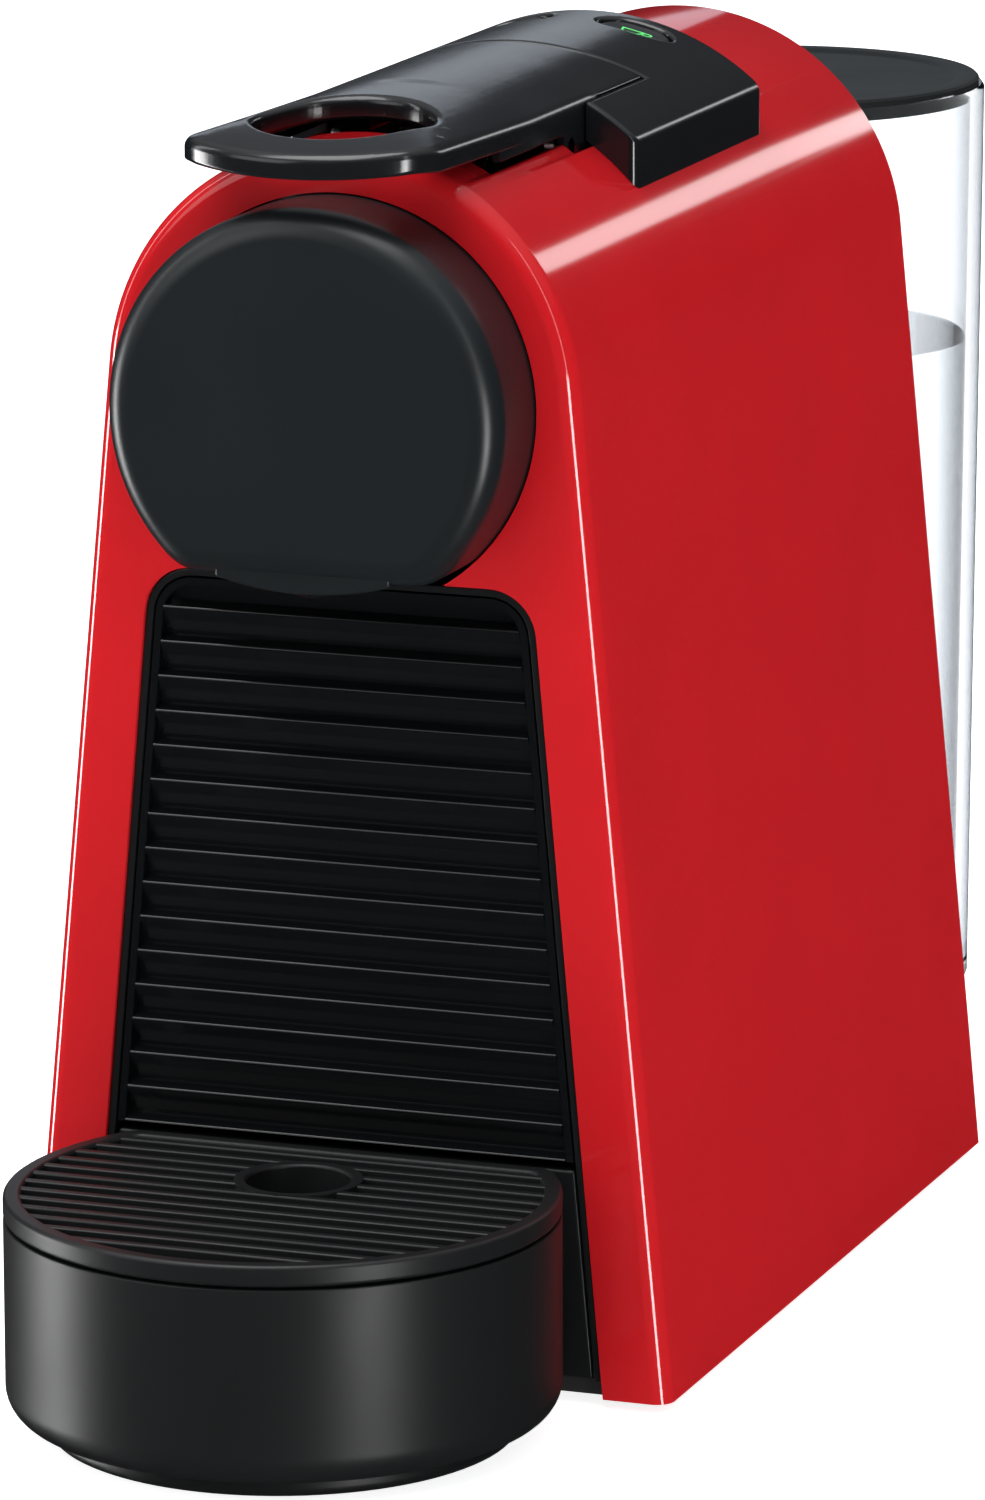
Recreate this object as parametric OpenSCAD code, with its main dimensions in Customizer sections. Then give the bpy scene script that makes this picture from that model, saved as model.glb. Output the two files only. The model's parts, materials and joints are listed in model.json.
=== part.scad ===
// Compact capsule espresso machine: arched shell with lever on top, brewing head and
// ribbed capsule bin in front, round drip tray, and a clear water tank behind.
// Frame: X to the right, Y to the back, Z up, origin on the floor under the middle.

/* [Shell] */
// Width of the shell at the floor
shell_w = 110; // [96:1:136]
// Length of the shell from front face to back edge
shell_len = 167.5; // [160:0.5:205]
// Radius of the arched top
arch_r = 39.4; // [38:0.1:46]
// Height of the arch centre above the floor
arch_z = 160; // [150:1:195]
// Wall of the shell
shell_wall = 2.2; // [1.6:0.1:3]
// Gap between the shell and the floor
shell_gap = 1.5; // [1:0.1:3]
// Half width of the front opening at the floor
open_half_w = 44; // [38:0.5:46]
// Height of the front opening
open_top = 131; // [120:0.5:140]
// Corner radius of the front opening
open_corner_r = 8; // [4:0.5:12]

/* [Top cover and lever] */
// Rise of the cover's crown above the arch
crown_rise = 5.6; // [4.5:0.1:8]
// Half width of the top cover
cover_half_w = 30; // [28:0.5:33]
// Length of the top cover
cover_len = 63.5; // [60:0.5:80]
// Wall of the top cover
cover_wall = 2.4; // [1.6:0.1:3]
// Half width of the lever
lever_half_w = 21; // [20.5:0.1:23]
// Thickness of the lever
lever_t = 4; // [3:0.1:4.4]
// Overhang of the lever's tip past the shell's front face
lever_overhang = 21; // [16:0.5:26]
// Radius of the finger hole
finger_r = 14.2; // [11:0.1:15]
// Radius of the lever's pivot pins
pivot_r = 1.75; // [1.4:0.05:2]
// Opening angle of the lever
lever_open = 90; // [60:1:90]
// Crank radius from the pivot to the crank pins
crank_r = 13; // [10:0.5:14]
// Length of the cage links between eyes
link_len = 46; // [45:0.5:50]

/* [Buttons] */
// Spacing of the two buttons
button_spacing = 21; // [17:0.5:24]
// Length of a button's oval
button_len = 12; // [10:0.5:14]
// Width of a button's oval
button_w = 8.4; // [6:0.2:9]
// Travel of a button
button_travel = 1; // [0.6:0.1:1.2]

/* [Head] */
// Radius of the round head cap
head_r = 32.7; // [31:0.1:34]
// Overhang of the head past the shell's front face
head_overhang = 17.4; // [14:0.1:20]
// Height of the head's centre below the arch centre
head_drop = 1; // [0:0.5:3]
// Height of the head's flat underside
head_flat_z = 135; // [133:0.1:138]
// Radius of the coffee outlet
outlet_r = 2.5; // [1.5:0.1:4]
// Depth of the shallow spout under the head
spout_drop = 2.7; // [2:0.1:4]
// Half width of the shallow spout
spout_half_w = 14.5; // [12:0.5:17]

/* [Capsule] */
// Radius of a capsule's flange
capsule_flange_r = 18.5; // [18:0.1:18.8]
// Inner radius of the capsule cage
cage_bore_r = 15; // [14:0.1:15.3]
// Length of the capsule cage
cage_len = 31; // [29:0.5:33]
// Radius of the sliding water stem
stem_r = 2.5; // [2:0.1:3]

/* [Drip tray] */
// Radius of the round tray
tray_r = 43.7; // [38:0.1:54]
// Reach of the tray in front of the shell
tray_reach = 69.5; // [58:0.5:86]
// Height of the tray to the grid's seam
tray_h = 35.3; // [30:0.1:37]
// Height of the grid above the seam
grid_h = 3.45; // [3:0.05:4]
// Wall of the tray
tray_wall = 2.2; // [1.6:0.1:3]
// Pitch of the grid bars
grid_pitch = 4.7; // [4:0.1:6]
// Radius of the round hole in the grid
grid_hole_r = 8.25; // [6:0.25:10]

/* [Capsule bin] */
// Pitch of the ribs on the front
rib_pitch = 5.63; // [4.5:0.01:7]
// Number of ribs
rib_count = 16; // [10:1:16]
// Depth of a rib
rib_depth = 2.2; // [1.5:0.1:3]
// Wall of the capsule bin
bin_wall = 1.8; // [1.4:0.1:2.4]

/* [Water tank] */
// Radius of the tank at the rim
tank_r = 36.9; // [31:0.1:44]
// Reach of the tank behind the shell
tank_reach = 88; // [78:0.5:104]
// Height of the tank's rim
tank_top = 179.3; // [150:0.1:214]
// Height of the tank's underside
tank_bottom = 14; // [13:0.5:18]
// How much narrower the tank is at the bottom
tank_taper = 1.6; // [0:0.1:3]
// Wall of the tank
tank_wall = 2.4; // [1.8:0.1:3]

/* [Hidden] */
$fn = 96;

play = 0.3;          // clearance between pieces that move past each other
fit = 0.05;          // radial clearance of a running fit
cut = 1;             // overshoot of cutting shapes
big = 300;           // larger than the machine

// Overall layout along Y
half_w = shell_w / 2;
total_len = tray_reach + shell_len + tank_reach;
front_y = -total_len / 2 + tray_reach;
back_y = front_y + shell_len;
tray_y = -total_len / 2 + tray_r;
tank_y = total_len / 2 - tank_r;

// Side lines of the shell, tangent to the arch
side_lean = atan2(arch_z, -half_w) - asin(arch_r / norm([half_w, arch_z])) - 90;
open_lean = atan(0.09);

// Crown, cover and lever
crown_r = arch_r + crown_rise;
crown_top = arch_z + crown_r;
pivot_y = front_y + 62.5;
pivot_z = arch_z + 29.5;
cover_front = pivot_y - 6.7;
cover_back = cover_front + cover_len;
seam_y = pivot_y + 17.5;
tail_r = norm([seam_y - pivot_y, crown_top - pivot_z]);
lever_tip = front_y - lever_overhang;
tip_r = 32;
tip_corner_r = 9;
tip_corner_y = lever_tip + tip_r - sqrt(pow(tip_r - tip_corner_r, 2) - pow(lever_half_w - tip_corner_r, 2));
tip_half = tip_r * (lever_half_w - tip_corner_r) / (tip_r - tip_corner_r);
bend_y = front_y + 33;
tip_drop = 4.2;
bend_r = (pow(bend_y - lever_tip, 2) + pow(tip_drop, 2)) / (2 * tip_drop);
cheek_t = 1.6;
well_half_w = lever_half_w + play;
well_back = pivot_y + tail_r + 0.6;

// Crank and links: crank pin and cage pin at rest, as offsets from the pivot
crank_lift = 15;
crank = [-crank_r * cos(crank_lift), crank_r * sin(crank_lift)];
pin_drop = pivot_z - arch_z;
cage_pin = [crank[0] - sqrt(pow(link_len, 2) - pow(crank[1] + pin_drop, 2)), -pin_drop];
link_t = 1.6;
link_x = lever_half_w - cheek_t - play - 0.1 - link_t;
crank_pin_r = 1.5;
eye_r = 2.8;
// Travel of the cage from closed to open
crank_open = [crank[0] * cos(lever_open) + crank[1] * sin(lever_open),
              crank[1] * cos(lever_open) - crank[0] * sin(lever_open)];
cage_travel = crank_open[0] - sqrt(pow(link_len, 2) - pow(crank_open[1] + pin_drop, 2)) - cage_pin[0];

// Brewing group
cage_front = pivot_y + cage_pin[0] - 3.2;
cage_back = cage_front + cage_len;
cage_r = cage_bore_r + 1.8;
plate_y = cage_front - 0.5;
frame_x = lever_half_w + 1;
frame_t = 2.5;
frame_floor = arch_z - 20;
fin_z = arch_z - 10;
fin_t = 2;
stem_back = cage_back + 42;
sleeve_front = cage_back + cage_travel + 8;
sleeve_back = stem_back + cage_travel + 3;
slot_back = cage_front + cage_travel + 3;

// Coffee outlet under the head
outlet_y = front_y - head_overhang + 7.5;
spout_r = (pow(spout_half_w, 2) + pow(spout_drop, 2)) / (2 * spout_drop);

// Inside of the body
floor_z = shell_gap + 2.5;
bulk_y = front_y + 81;
bulk_t = 2.5;
rail_z = arch_z - 30;
block_y = sleeve_back;
block_len = 33;
rear_t = 3;
rear_y = back_y - rear_t;
pump = [-12, block_y + 15];
pump_z = 22;
inlet_len = 5;
meter = [22, bulk_y + 32];
meter_r = 14;
board_x = 38;
board_top = crown_top - 17.4;
button_y = cover_back - 8.3;
gland_z = 26;
gland_margin = 6.3;      // from the shell's inner face to the gland's middle
gland = [-round(half_w - shell_wall / cos(side_lean) - gland_z * tan(side_lean) - gland_margin), gland_z];
gland_bore_r = 3.4;
boss_y = [bulk_y + 10, rear_y - 9.5];
boss_x = half_w - 8;

// Front opening, bin and tray
liner_in = 1.4;
bin_in = liner_in + play;
seam_z = tray_h + grid_h + 0.9;
bin_back = bulk_y - 3;
bin_top = open_top - 10;
tray_fillet = 6.6;
dock_r = tank_r - tank_taper - 1;
spigot_y = tank_y - 14;
spigot_r = 4;

// ---------- 2D outlines ----------
function arc(cx, cz, r, from, to, steps) = [for (i = [0 : steps])
    let (a = from + (to - from) * i / steps) [cx + r * cos(a), cz + r * sin(a)]];

module arch_2d(inset = 0) {
    b = half_w - inset / cos(side_lean);
    polygon(concat([[b, 0]], arc(0, arch_z, arch_r - inset, side_lean, 180 - side_lean, 72), [[-b, 0]]));
}

module opening_2d(inset = 0) {
    r = open_corner_r - inset;
    cz = open_top - open_corner_r;
    cx = open_half_w - 0.09 * cz - open_corner_r / cos(open_lean);
    b = open_half_w - inset / cos(open_lean);
    polygon(concat([[b, 0]], arc(cx, cz, r, open_lean, 90, 12), arc(-cx, cz, r, 90, 180 - open_lean, 12),
                   [[-b, 0]]));
}

module head_2d(inset = 0) {
    intersection() {
        translate([0, arch_z - head_drop]) circle(head_r - inset);
        translate([-big, head_flat_z + inset]) square(2 * big);
    }
}

module tray_2d(inset = 0) {
    intersection() {
        translate([0, tray_y]) circle(tray_r - inset);
        translate([-big, front_y - inset - 2 * big]) square(2 * big);
    }
}

module oval_2d(grow = 0) {
    half = (button_len - button_w) / 2;
    for (s = [-1, 1]) translate([s * half, 0]) circle(button_w / 2 + grow);
    square([2 * half, button_w + 2 * grow], center = true);
}

// Extrudes an outline drawn in (x, z) along Y, or one drawn in (y, z) along X
module along_y(y0, y1) translate([0, y1, 0]) rotate([90, 0, 0]) linear_extrude(y1 - y0) children();
module along_x(x0, x1) translate([x0, 0, 0]) rotate([90, 0, 90]) linear_extrude(x1 - x0) children();
module rod_y(r, y0, y1, x, z) translate([x, y0, z]) rotate([-90, 0, 0]) cylinder(r = r, h = y1 - y0);
module rod_z(r, z0, z1, x, y) translate([x, y, z0]) cylinder(r = r, h = z1 - z0);
module rod_x(r, x0, x1, y, z) translate([x0, y, z]) rotate([0, 90, 0]) cylinder(r = r, h = x1 - x0);
module both_sides() for (m = [0, 1]) mirror([m, 0, 0]) children();
module block(x0, x1, y0, y1, z0, z1) translate([x0, y0, z0]) cube([x1 - x0, y1 - y0, z1 - z0]);

// Round bar swept along a smooth curve through four control points
function bezier(p, t) = pow(1 - t, 3) * p[0] + 3 * t * pow(1 - t, 2) * p[1]
    + 3 * t * t * (1 - t) * p[2] + pow(t, 3) * p[3];
function bezier_dir(p, t) = pow(1 - t, 2) * (p[1] - p[0]) + 2 * t * (1 - t) * (p[2] - p[1])
    + t * t * (p[3] - p[2]);
module hose(p, r, rings = 18, sides = 12) {
    skew = [0.91, 0.13, 0.39];
    pts = [for (i = [0 : rings]) let (c = bezier(p, i / rings), d = bezier_dir(p, i / rings),
               u = cross(d, skew) / norm(cross(d, skew)), v = cross(d, u) / norm(cross(d, u)))
           for (k = [0 : sides - 1]) c + r * (cos(360 * k / sides) * u + sin(360 * k / sides) * v)];
    walls = [for (i = [0 : rings - 1]) for (k = [0 : sides - 1]) let (n = (k + 1) % sides)
             [i * sides + k, (i + 1) * sides + k, (i + 1) * sides + n, i * sides + n]];
    ends = [[for (k = [0 : sides - 1]) k], [for (k = [sides - 1 : -1 : 0]) rings * sides + k]];
    polyhedron(pts, concat(walls, ends));
}

// ---------- casing ----------
module housing_shell() color("firebrick") {
    difference() {
        along_y(front_y, back_y) arch_2d();
        along_y(front_y + shell_wall, back_y + cut) arch_2d(shell_wall);
        block(-big, big, -big, big, -cut, shell_gap);
        along_y(front_y - cut, front_y + shell_wall + cut) opening_2d();
        along_y(front_y - cut, front_y + shell_wall + cut) head_2d(-play);
        // slot for the capsule, well for the lever's tail, well under the cover
        block(-capsule_flange_r - 0.7, capsule_flange_r + 0.7, cage_front - play, slot_back,
              arch_z + 10, crown_top);
        block(-well_half_w, well_half_w, slot_back - cut, well_back, arch_z + 10, crown_top);
        block(-cover_half_w + 6, cover_half_w - 6, well_back - cut, cover_back - cover_wall,
              arch_z + 10, crown_top);
        // pockets for the pivot pins, hidden under the cover's wings
        block(-cover_half_w + 2, cover_half_w - 2, pivot_y - pivot_r - play, pivot_y + pivot_r + play,
              pivot_z - pivot_r - play, crown_top);
    }
    // screw bosses at the foot
    difference() {
        for (y = boss_y) both_sides() intersection() {
            block(boss_x - 4.5, half_w, y - 4.5, y + 4.5, floor_z, floor_z + 14);
            along_y(front_y, back_y) arch_2d(shell_wall / 2);
        }
        for (y = boss_y) both_sides() translate([boss_x, y, floor_z - cut]) cylinder(r = 1.5, h = 11 + cut);
    }
}

module front_liner() color("#161616") difference() {
    union() {
        along_y(front_y + 0.5, front_y + 6) opening_2d(0.15);
        difference() {
            along_y(front_y + shell_wall + 0.1, front_y + shell_wall + 1.6) opening_2d(-3);
            block(-big, big, -big, big, open_top - 0.1, big);
        }
    }
    along_y(front_y, front_y + 7) opening_2d(liner_in);
    block(-big, big, -big, big, -cut, floor_z + 0.1);
    along_y(front_y, front_y + 7) head_2d(-play - 0.2);
}

module base_plate() color("#202020") difference() {
    union() {
        block(-half_w + 3.5, half_w - 3.5, front_y + shell_wall + 0.4, rear_y - 0.2, shell_gap, floor_z);
        for (a = [0, 120, 240]) translate([pump[0], pump[1], shell_gap]) rotate(a + 90)
            translate([10.5, 0, 0]) cylinder(r = 3, h = pump_z - 4 - shell_gap);
        // slotted posts that hold the main board
        for (y = [board_y0(), board_y1() - 6]) difference() {
            block(board_x - 2, board_x + 3.6, y, y + 6, shell_gap, 34);
            block(board_x, board_x + 1.6, y - cut, y + 6 + cut, 28, 34 + cut);
        }
    }
    for (y = boss_y) both_sides() translate([boss_x, y, 0]) {
        cylinder(r = 1.5, h = 10);
        cylinder(r = 3.1, h = shell_gap + 1.2);
    }
    for (p = feet()) translate([p[0], p[1], 0]) cylinder(r = 3, h = shell_gap + 1);
}

function feet() = [for (x = [-1, 1]) for (y = [front_y + 16, rear_y - 20]) [x * (half_w - 14), y]];
module rubber_feet() color("#303030") for (p = feet()) translate([p[0], p[1], 0]) {
    cylinder(r = 6, h = shell_gap);
    cylinder(r = 3, h = shell_gap + 1);
}

module chassis() color("dimgray") difference() {
    union() {
        along_y(bulk_y, bulk_y + bulk_t) intersection() {
            arch_2d(shell_wall + 1);
            translate([-big, floor_z]) square([2 * big, frame_floor - floor_z]);
        }
        both_sides() block(22.5, 27, bulk_y, rear_y, rail_z, rail_z + 6);
    }
    // cable and tube openings
    block(-30, -6, bulk_y - cut, bulk_y + bulk_t + cut, 20, 60);
    block(-15, 15, bulk_y - cut, bulk_y + bulk_t + cut, 100, 120);
    both_sides() translate([23.25, bulk_y + 1.25, frame_floor - 8]) cylinder(r = 0.8, h = 9);
}

module rear_panel() color("#1c1c1c") difference() {
    along_y(rear_y, back_y) intersection() {
        arch_2d(shell_wall + 0.2);
        translate([-big, shell_gap]) square(2 * big);
    }
    rod_y(6, rear_y - cut, back_y + cut, 3, floor_z + 5);
    rod_y(5.5, rear_y - cut, back_y + cut, gland[0], gland[1]);
    for (z = [60 : 8 : 108]) block(14, 34, rear_y - cut, back_y + cut, z, z + 3);
}

module tank_dock() color("#1a1a1a") difference() {
    union() {
        translate([0, tank_y, shell_gap]) cylinder(r = dock_r, h = tank_bottom - 0.6 - shell_gap);
        block(-28, 28, back_y, tank_y, shell_gap, tank_bottom - 0.6);
        block(-20, 20, back_y, back_y + 22, shell_gap, tank_top - 40);
    }
    // the tank stands in the hollow of the cradle
    translate([0, tank_y, tank_bottom - 0.6]) cylinder(r = tank_r + 0.5, h = big);
    // room for the hose underneath
    hull() for (y = [back_y - cut, spigot_y]) translate([0, y, 0]) cylinder(r = 7, h = floor_z + 6.5, $fn = 32);
    translate([0, spigot_y, 0]) cylinder(r = spigot_r, h = tank_bottom);
}

module dock_spigot() color("#2a2a2a") difference() {
    translate([0, spigot_y, floor_z + 6]) {
        cylinder(r = spigot_r, h = tank_bottom + 2 - floor_z - 6);
        cylinder(r = spigot_r + 1.5, h = 0.5);
    }
    translate([0, spigot_y, floor_z]) cylinder(r = 1.6, h = 20);
}

module top_cover() color("#1b1c1f") {
    difference() {
        along_y(cover_front, cover_back) difference() {
            intersection() {
                translate([0, arch_z]) circle(crown_r);
                translate([-cover_half_w, arch_z + 10]) square([2 * cover_half_w, crown_r]);
            }
            translate([0, arch_z]) circle(arch_r + fit);
        }
        // recess for the lever and its tail
        block(-well_half_w - 0.1, well_half_w + 0.1, cover_front - cut, pivot_y, arch_z, crown_top + cut);
        rod_x(tail_r + 0.35, -well_half_w - 0.1, well_half_w + 0.1, pivot_y, pivot_z);
        // hollow underside
        along_y(pivot_y + 8, cover_back - cover_wall) intersection() {
            translate([0, arch_z]) circle(crown_r - cover_wall);
            translate([-cover_half_w + cover_wall, arch_z]) square([2 * (cover_half_w - cover_wall), crown_r]);
        }
        for (s = [-1, 1]) translate([s * button_spacing / 2, button_y, arch_z]) linear_extrude(big) oval_2d(play);
        both_sides() rod_x(pivot_r, lever_half_w, cover_half_w - 2.5, pivot_y, pivot_z);
    }
    // bosses that carry the button board
    both_sides() difference() {
        translate([19.5, button_y - 8.5, board_top]) cylinder(r = 2.2, h = arch_z + 39 - board_top);
        translate([19.5, button_y - 8.5, board_top - cut]) cylinder(r = 0.8, h = 6 + cut);
    }
}

// ---------- head and brewing group ----------
module head_cap() color("#26282b") difference() {
    along_y(front_y - head_overhang, front_y + 4) head_2d();
    along_y(front_y - head_overhang + 2.5, front_y + 4 + cut) head_2d(2.2);
    block(-12, 12, front_y - head_overhang + 2.5, front_y + 4 + cut, head_flat_z - cut, head_flat_z + 4);
}

module coffee_spout() color("#1d1e20") difference() {
    along_y(front_y - head_overhang + 1.5, front_y - 2.5) intersection() {
        translate([0, head_flat_z - spout_drop + spout_r]) circle(spout_r);
        translate([-big, head_flat_z - 10]) square([2 * big, 10]);
    }
    translate([0, outlet_y, 0]) cylinder(r = outlet_r, h = big);
}

module extraction_duct() color("#202226") difference() {
    union() {
        rod_y(17, plate_y - 10, plate_y - 5.6, 0, arch_z);
        block(-8, 8, outlet_y - 4.8, plate_y - 5.6, head_flat_z, arch_z - 8);
    }
    rod_y(14, plate_y - 8.4, plate_y - 5.6 + cut, 0, arch_z);
    block(-5, 5, outlet_y - 3, plate_y - 5.6 + cut, head_flat_z + 4, arch_z - 11);
    translate([0, outlet_y, head_flat_z - cut]) cylinder(r = outlet_r, h = 8);
}

module brew_frame() color("#303236") difference() {
    union() {
        both_sides() block(frame_x, frame_x + frame_t, plate_y - 5.5, bulk_y + bulk_t, frame_floor, arch_z + 16);
        both_sides() difference() {
            block(frame_x - 2.4, frame_x, plate_y - 3, bulk_y - 2, fin_z - 3, fin_z + 3);
            block(frame_x - 2.4 - cut, frame_x - 0.2, plate_y - 3 - cut, bulk_y - 2 + cut,
                  fin_z - fin_t / 2 - 0.15, fin_z + fin_t / 2 + 0.15);
        }
        block(-frame_x - frame_t, frame_x + frame_t, plate_y - 5.5, plate_y - 3, frame_floor, arch_z + 18);
    }
    rod_y(15, plate_y - 5.5 - cut, plate_y - 3 + cut, 0, arch_z);
    both_sides() translate([23.25, bulk_y + 1.25, frame_floor - cut]) cylinder(r = 0.8, h = 6 + cut);
}

module piercing_plate() color("silver") difference() {
    rod_y(capsule_flange_r + 0.5, plate_y - 3, plate_y - 0.6, 0, arch_z);
    // coffee passes between rows of small holes
    for (i = [-2 : 2]) for (k = [-2 : 2])
        rod_y(0.7, plate_y - 3 - cut, plate_y, i * 5, arch_z + k * 5);
}

module plate_seal() color("#404040") translate([0, plate_y - 0.6, arch_z]) rotate([-90, 0, 0])
    difference() {
        cylinder(r = cage_r, h = 0.7);
        translate([0, 0, -cut]) cylinder(r = cage_r - 2, h = 0.7 + 2 * cut);
    }

module frame_screws() color("silver") both_sides() translate([23.25, bulk_y + 1.25, frame_floor - 8])
    cylinder(r = 0.8, h = 12);

module base_screws() color("silver") for (y = boss_y) both_sides() translate([boss_x, y, shell_gap]) {
    cylinder(r = 3.1, h = 1.2);
    cylinder(r = 1.5, h = 10);
}

module pivot_pins() color("silver") both_sides()
    rod_x(pivot_r, lever_half_w - cheek_t, cover_half_w - 2.5, pivot_y, pivot_z);

module capsule_cage() color("#3a3d42") difference() {
    union() {
        rod_y(cage_r, cage_front, cage_back - 9, 0, arch_z);
        translate([0, cage_back - 9, arch_z]) rotate([-90, 0, 0]) cylinder(r1 = cage_r, r2 = 7.5, h = 9);
        // fins that slide in the frame's grooves
        both_sides() block(11, frame_x - 0.4, cage_front + 4, cage_front + 26, fin_z - fin_t / 2, fin_z + fin_t / 2);
    }
    translate([0, cage_front - cut, arch_z]) rotate([-90, 0, 0])
        cylinder(r1 = cage_bore_r + 0.1, r2 = 12.5, h = cage_len - 8 + cut);
    rod_y(stem_r, cage_back - 9, cage_back + cut, 0, arch_z);
    both_sides() rod_x(crank_pin_r, cage_bore_r, 20, pivot_y + cage_pin[0], arch_z);
}

module cage_pins() color("silver") both_sides()
    rod_x(crank_pin_r, cage_bore_r + 0.4, link_x - play, pivot_y + cage_pin[0], arch_z);

module piercing_needles() color("silver") for (a = [90, 210, 330])
    translate([6.5 * cos(a), cage_back - 8, arch_z + 6.5 * sin(a)]) rotate([90, 0, 0])
        cylinder(r1 = 1.2, r2 = 0.2, h = 6);

module water_stem() color("silver") difference() {
    rod_y(stem_r, cage_back - 8, stem_back, 0, arch_z);
    rod_y(1, cage_back - 9, stem_back + cut, 0, arch_z);
}

module inlet_sleeve() color("#55585c") difference() {
    rod_y(stem_r + 2.6, sleeve_front, sleeve_back, 0, arch_z);
    rod_y(stem_r + fit, sleeve_front - cut, sleeve_back + cut, 0, arch_z);
}

// ---------- lever ----------
module lever_side_2d(drop) {
    intersection() {
        translate([bend_y, crown_top - drop - bend_r]) circle(bend_r, $fn = 360);
        translate([lever_tip - 5, arch_z]) square([bend_y - lever_tip + 5, 60]);
    }
    translate([bend_y, arch_z]) square([big, crown_top - drop - arch_z]);
}

module lever_solid(drop) intersection() {
    along_y(lever_tip - 5, pivot_y + tail_r + 5) translate([0, arch_z]) circle(crown_r - drop);
    along_x(-lever_half_w, lever_half_w) lever_side_2d(drop);
}

module lever_handle() color("#141518") difference() {
    union() {
        difference() {
            intersection() {
                lever_solid(0);
                translate([0, 0, arch_z]) linear_extrude(60) {
                    hull() {
                        intersection() {
                            translate([0, lever_tip + tip_r]) circle(tip_r);
                            translate([-tip_half, lever_tip - cut]) square([2 * tip_half, 15]);
                        }
                        both_sides() translate([lever_half_w - tip_corner_r, tip_corner_y]) circle(tip_corner_r);
                        translate([-lever_half_w, pivot_y]) square([2 * lever_half_w, 1]);
                    }
                    translate([-lever_half_w, pivot_y]) square([2 * lever_half_w, tail_r]);
                }
            }
            lever_solid(lever_t);
            block(-big, big, pivot_y, big, 0, pivot_z);
            // rounded tail that turns under the cover's edge
            difference() {
                block(-big, big, pivot_y, big, arch_z, big);
                rod_x(tail_r, -big, big, pivot_y, pivot_z);
            }
        }
        both_sides() along_x(lever_half_w - cheek_t, lever_half_w) {
            translate([pivot_y, pivot_z]) circle(3.6);
            translate([pivot_y + crank[0] - 3, pivot_z]) square([6.6 - crank[0], arch_z + 37.4 - pivot_z]);
        }
    }
    translate([0, lever_tip + 24.5, 0]) cylinder(r = finger_r, h = big);
    both_sides() rod_x(pivot_r + fit, lever_half_w - cheek_t - cut, lever_half_w + cut, pivot_y, pivot_z);
    both_sides() rod_x(crank_pin_r, lever_half_w - cheek_t - cut, lever_half_w + cut,
                       pivot_y + crank[0], pivot_z + crank[1]);
}

module crank_pins() color("silver") both_sides()
    rod_x(crank_pin_r, link_x - 0.2, lever_half_w, pivot_y + crank[0], pivot_z + crank[1]);

module cage_links() color("lightgray") both_sides() difference() {
    a = [pivot_y + crank[0], pivot_z + crank[1]];
    c = [pivot_y + cage_pin[0], arch_z];
    side = [-(c - a)[1], (c - a)[0]] / link_len * 2;
    along_x(link_x, link_x + link_t) {
        translate(a) circle(eye_r);
        translate(c) circle(eye_r);
        polygon([a + side, c + side, c - side, a - side]);
    }
    rod_x(crank_pin_r + fit, link_x - cut, link_x + link_t + cut, a[0], a[1]);
    rod_x(crank_pin_r + fit, link_x - cut, link_x + link_t + cut, c[0], c[1]);
}

// ---------- buttons ----------
module button_at(s) translate([s * button_spacing / 2, button_y, 0]) children();

module button(s) intersection() {
    button_at(s) {
        translate([0, 0, arch_z + 37.6]) linear_extrude(1.1) oval_2d(0.9);
        translate([0, 0, arch_z + 37.6]) linear_extrude(crown_r) oval_2d();
        translate([0, 0, board_top + 2.6]) cylinder(r = 1.8, h = 9);
    }
    along_y(cover_front, cover_back) translate([0, arch_z]) circle(crown_r - 0.6);
}
module espresso_button() color("#17181a") button(1);
module lungo_button() color("#17181a") button(-1);

module button_spring(s) button_at(s) translate([0, 0, board_top]) difference() {
    cylinder(r = 3.6, h = arch_z + 37.6 - board_top);
    translate([0, 0, -cut]) cylinder(r = 3, h = 30);
}
module espresso_button_spring() color("silver") button_spring(1);
module lungo_button_spring() color("silver") button_spring(-1);

module ui_board() color("darkgreen") block(-22.5, 22.5, button_y - 12, button_y + 6, board_top - 1.6, board_top);
module button_switches() color("silver") for (s = [-1, 1]) button_at(s)
    translate([0, 0, board_top]) cylinder(r = 2.6, h = 1.4);

// ---------- heating, pump and electronics ----------
module thermoblock() color("lightgray") difference() {
    union() {
        block(-27, 27, block_y, block_y + block_len, rail_z + 6, arch_z + 14);
        both_sides() rod_y(4, block_y + block_len, block_y + block_len + 2, 16, rail_z + 14);
    }
    rod_y(stem_r + 0.4, block_y - cut, block_y + 14, 0, arch_z);
    translate([pump[0], pump[1], rail_z]) cylinder(r = 2, h = 20);
}

module thermostat() color("dimgray") translate([0, block_y + 16, arch_z + 14]) {
    cylinder(r = 8, h = 5);
    cylinder(r = 4, h = 8);
}

module thermal_fuses() color("beige") both_sides() rod_y(1.6, block_y + 4, block_y + 26, 18, arch_z + 15.6);

module heater_terminals() color("silver") both_sides()
    block(15.6, 16.4, block_y + block_len + 2, rear_y - 1, rail_z + 11, rail_z + 17);

function board_y0() = bulk_y + 14;
function board_y1() = board_y0() + 54;
module main_board() color("darkgreen") block(board_x, board_x + 1.6, board_y0(), board_y1(), 28, 100);

module board_parts() color("#2e2e30") {
    block(board_x - 14, board_x, board_y0() + 4, board_y0() + 20, 62, 82);
    rod_x(6, board_x - 16, board_x, board_y0() + 30, 74);
    rod_x(4, board_x - 10, board_x, board_y0() + 44, 70);
    block(board_x - 9, board_x, board_y0() + 6, board_y0() + 26, 44, 54);
    block(board_x - 12, board_x, board_y0() + 8, board_y0() + 44, 86, 96);
}

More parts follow.
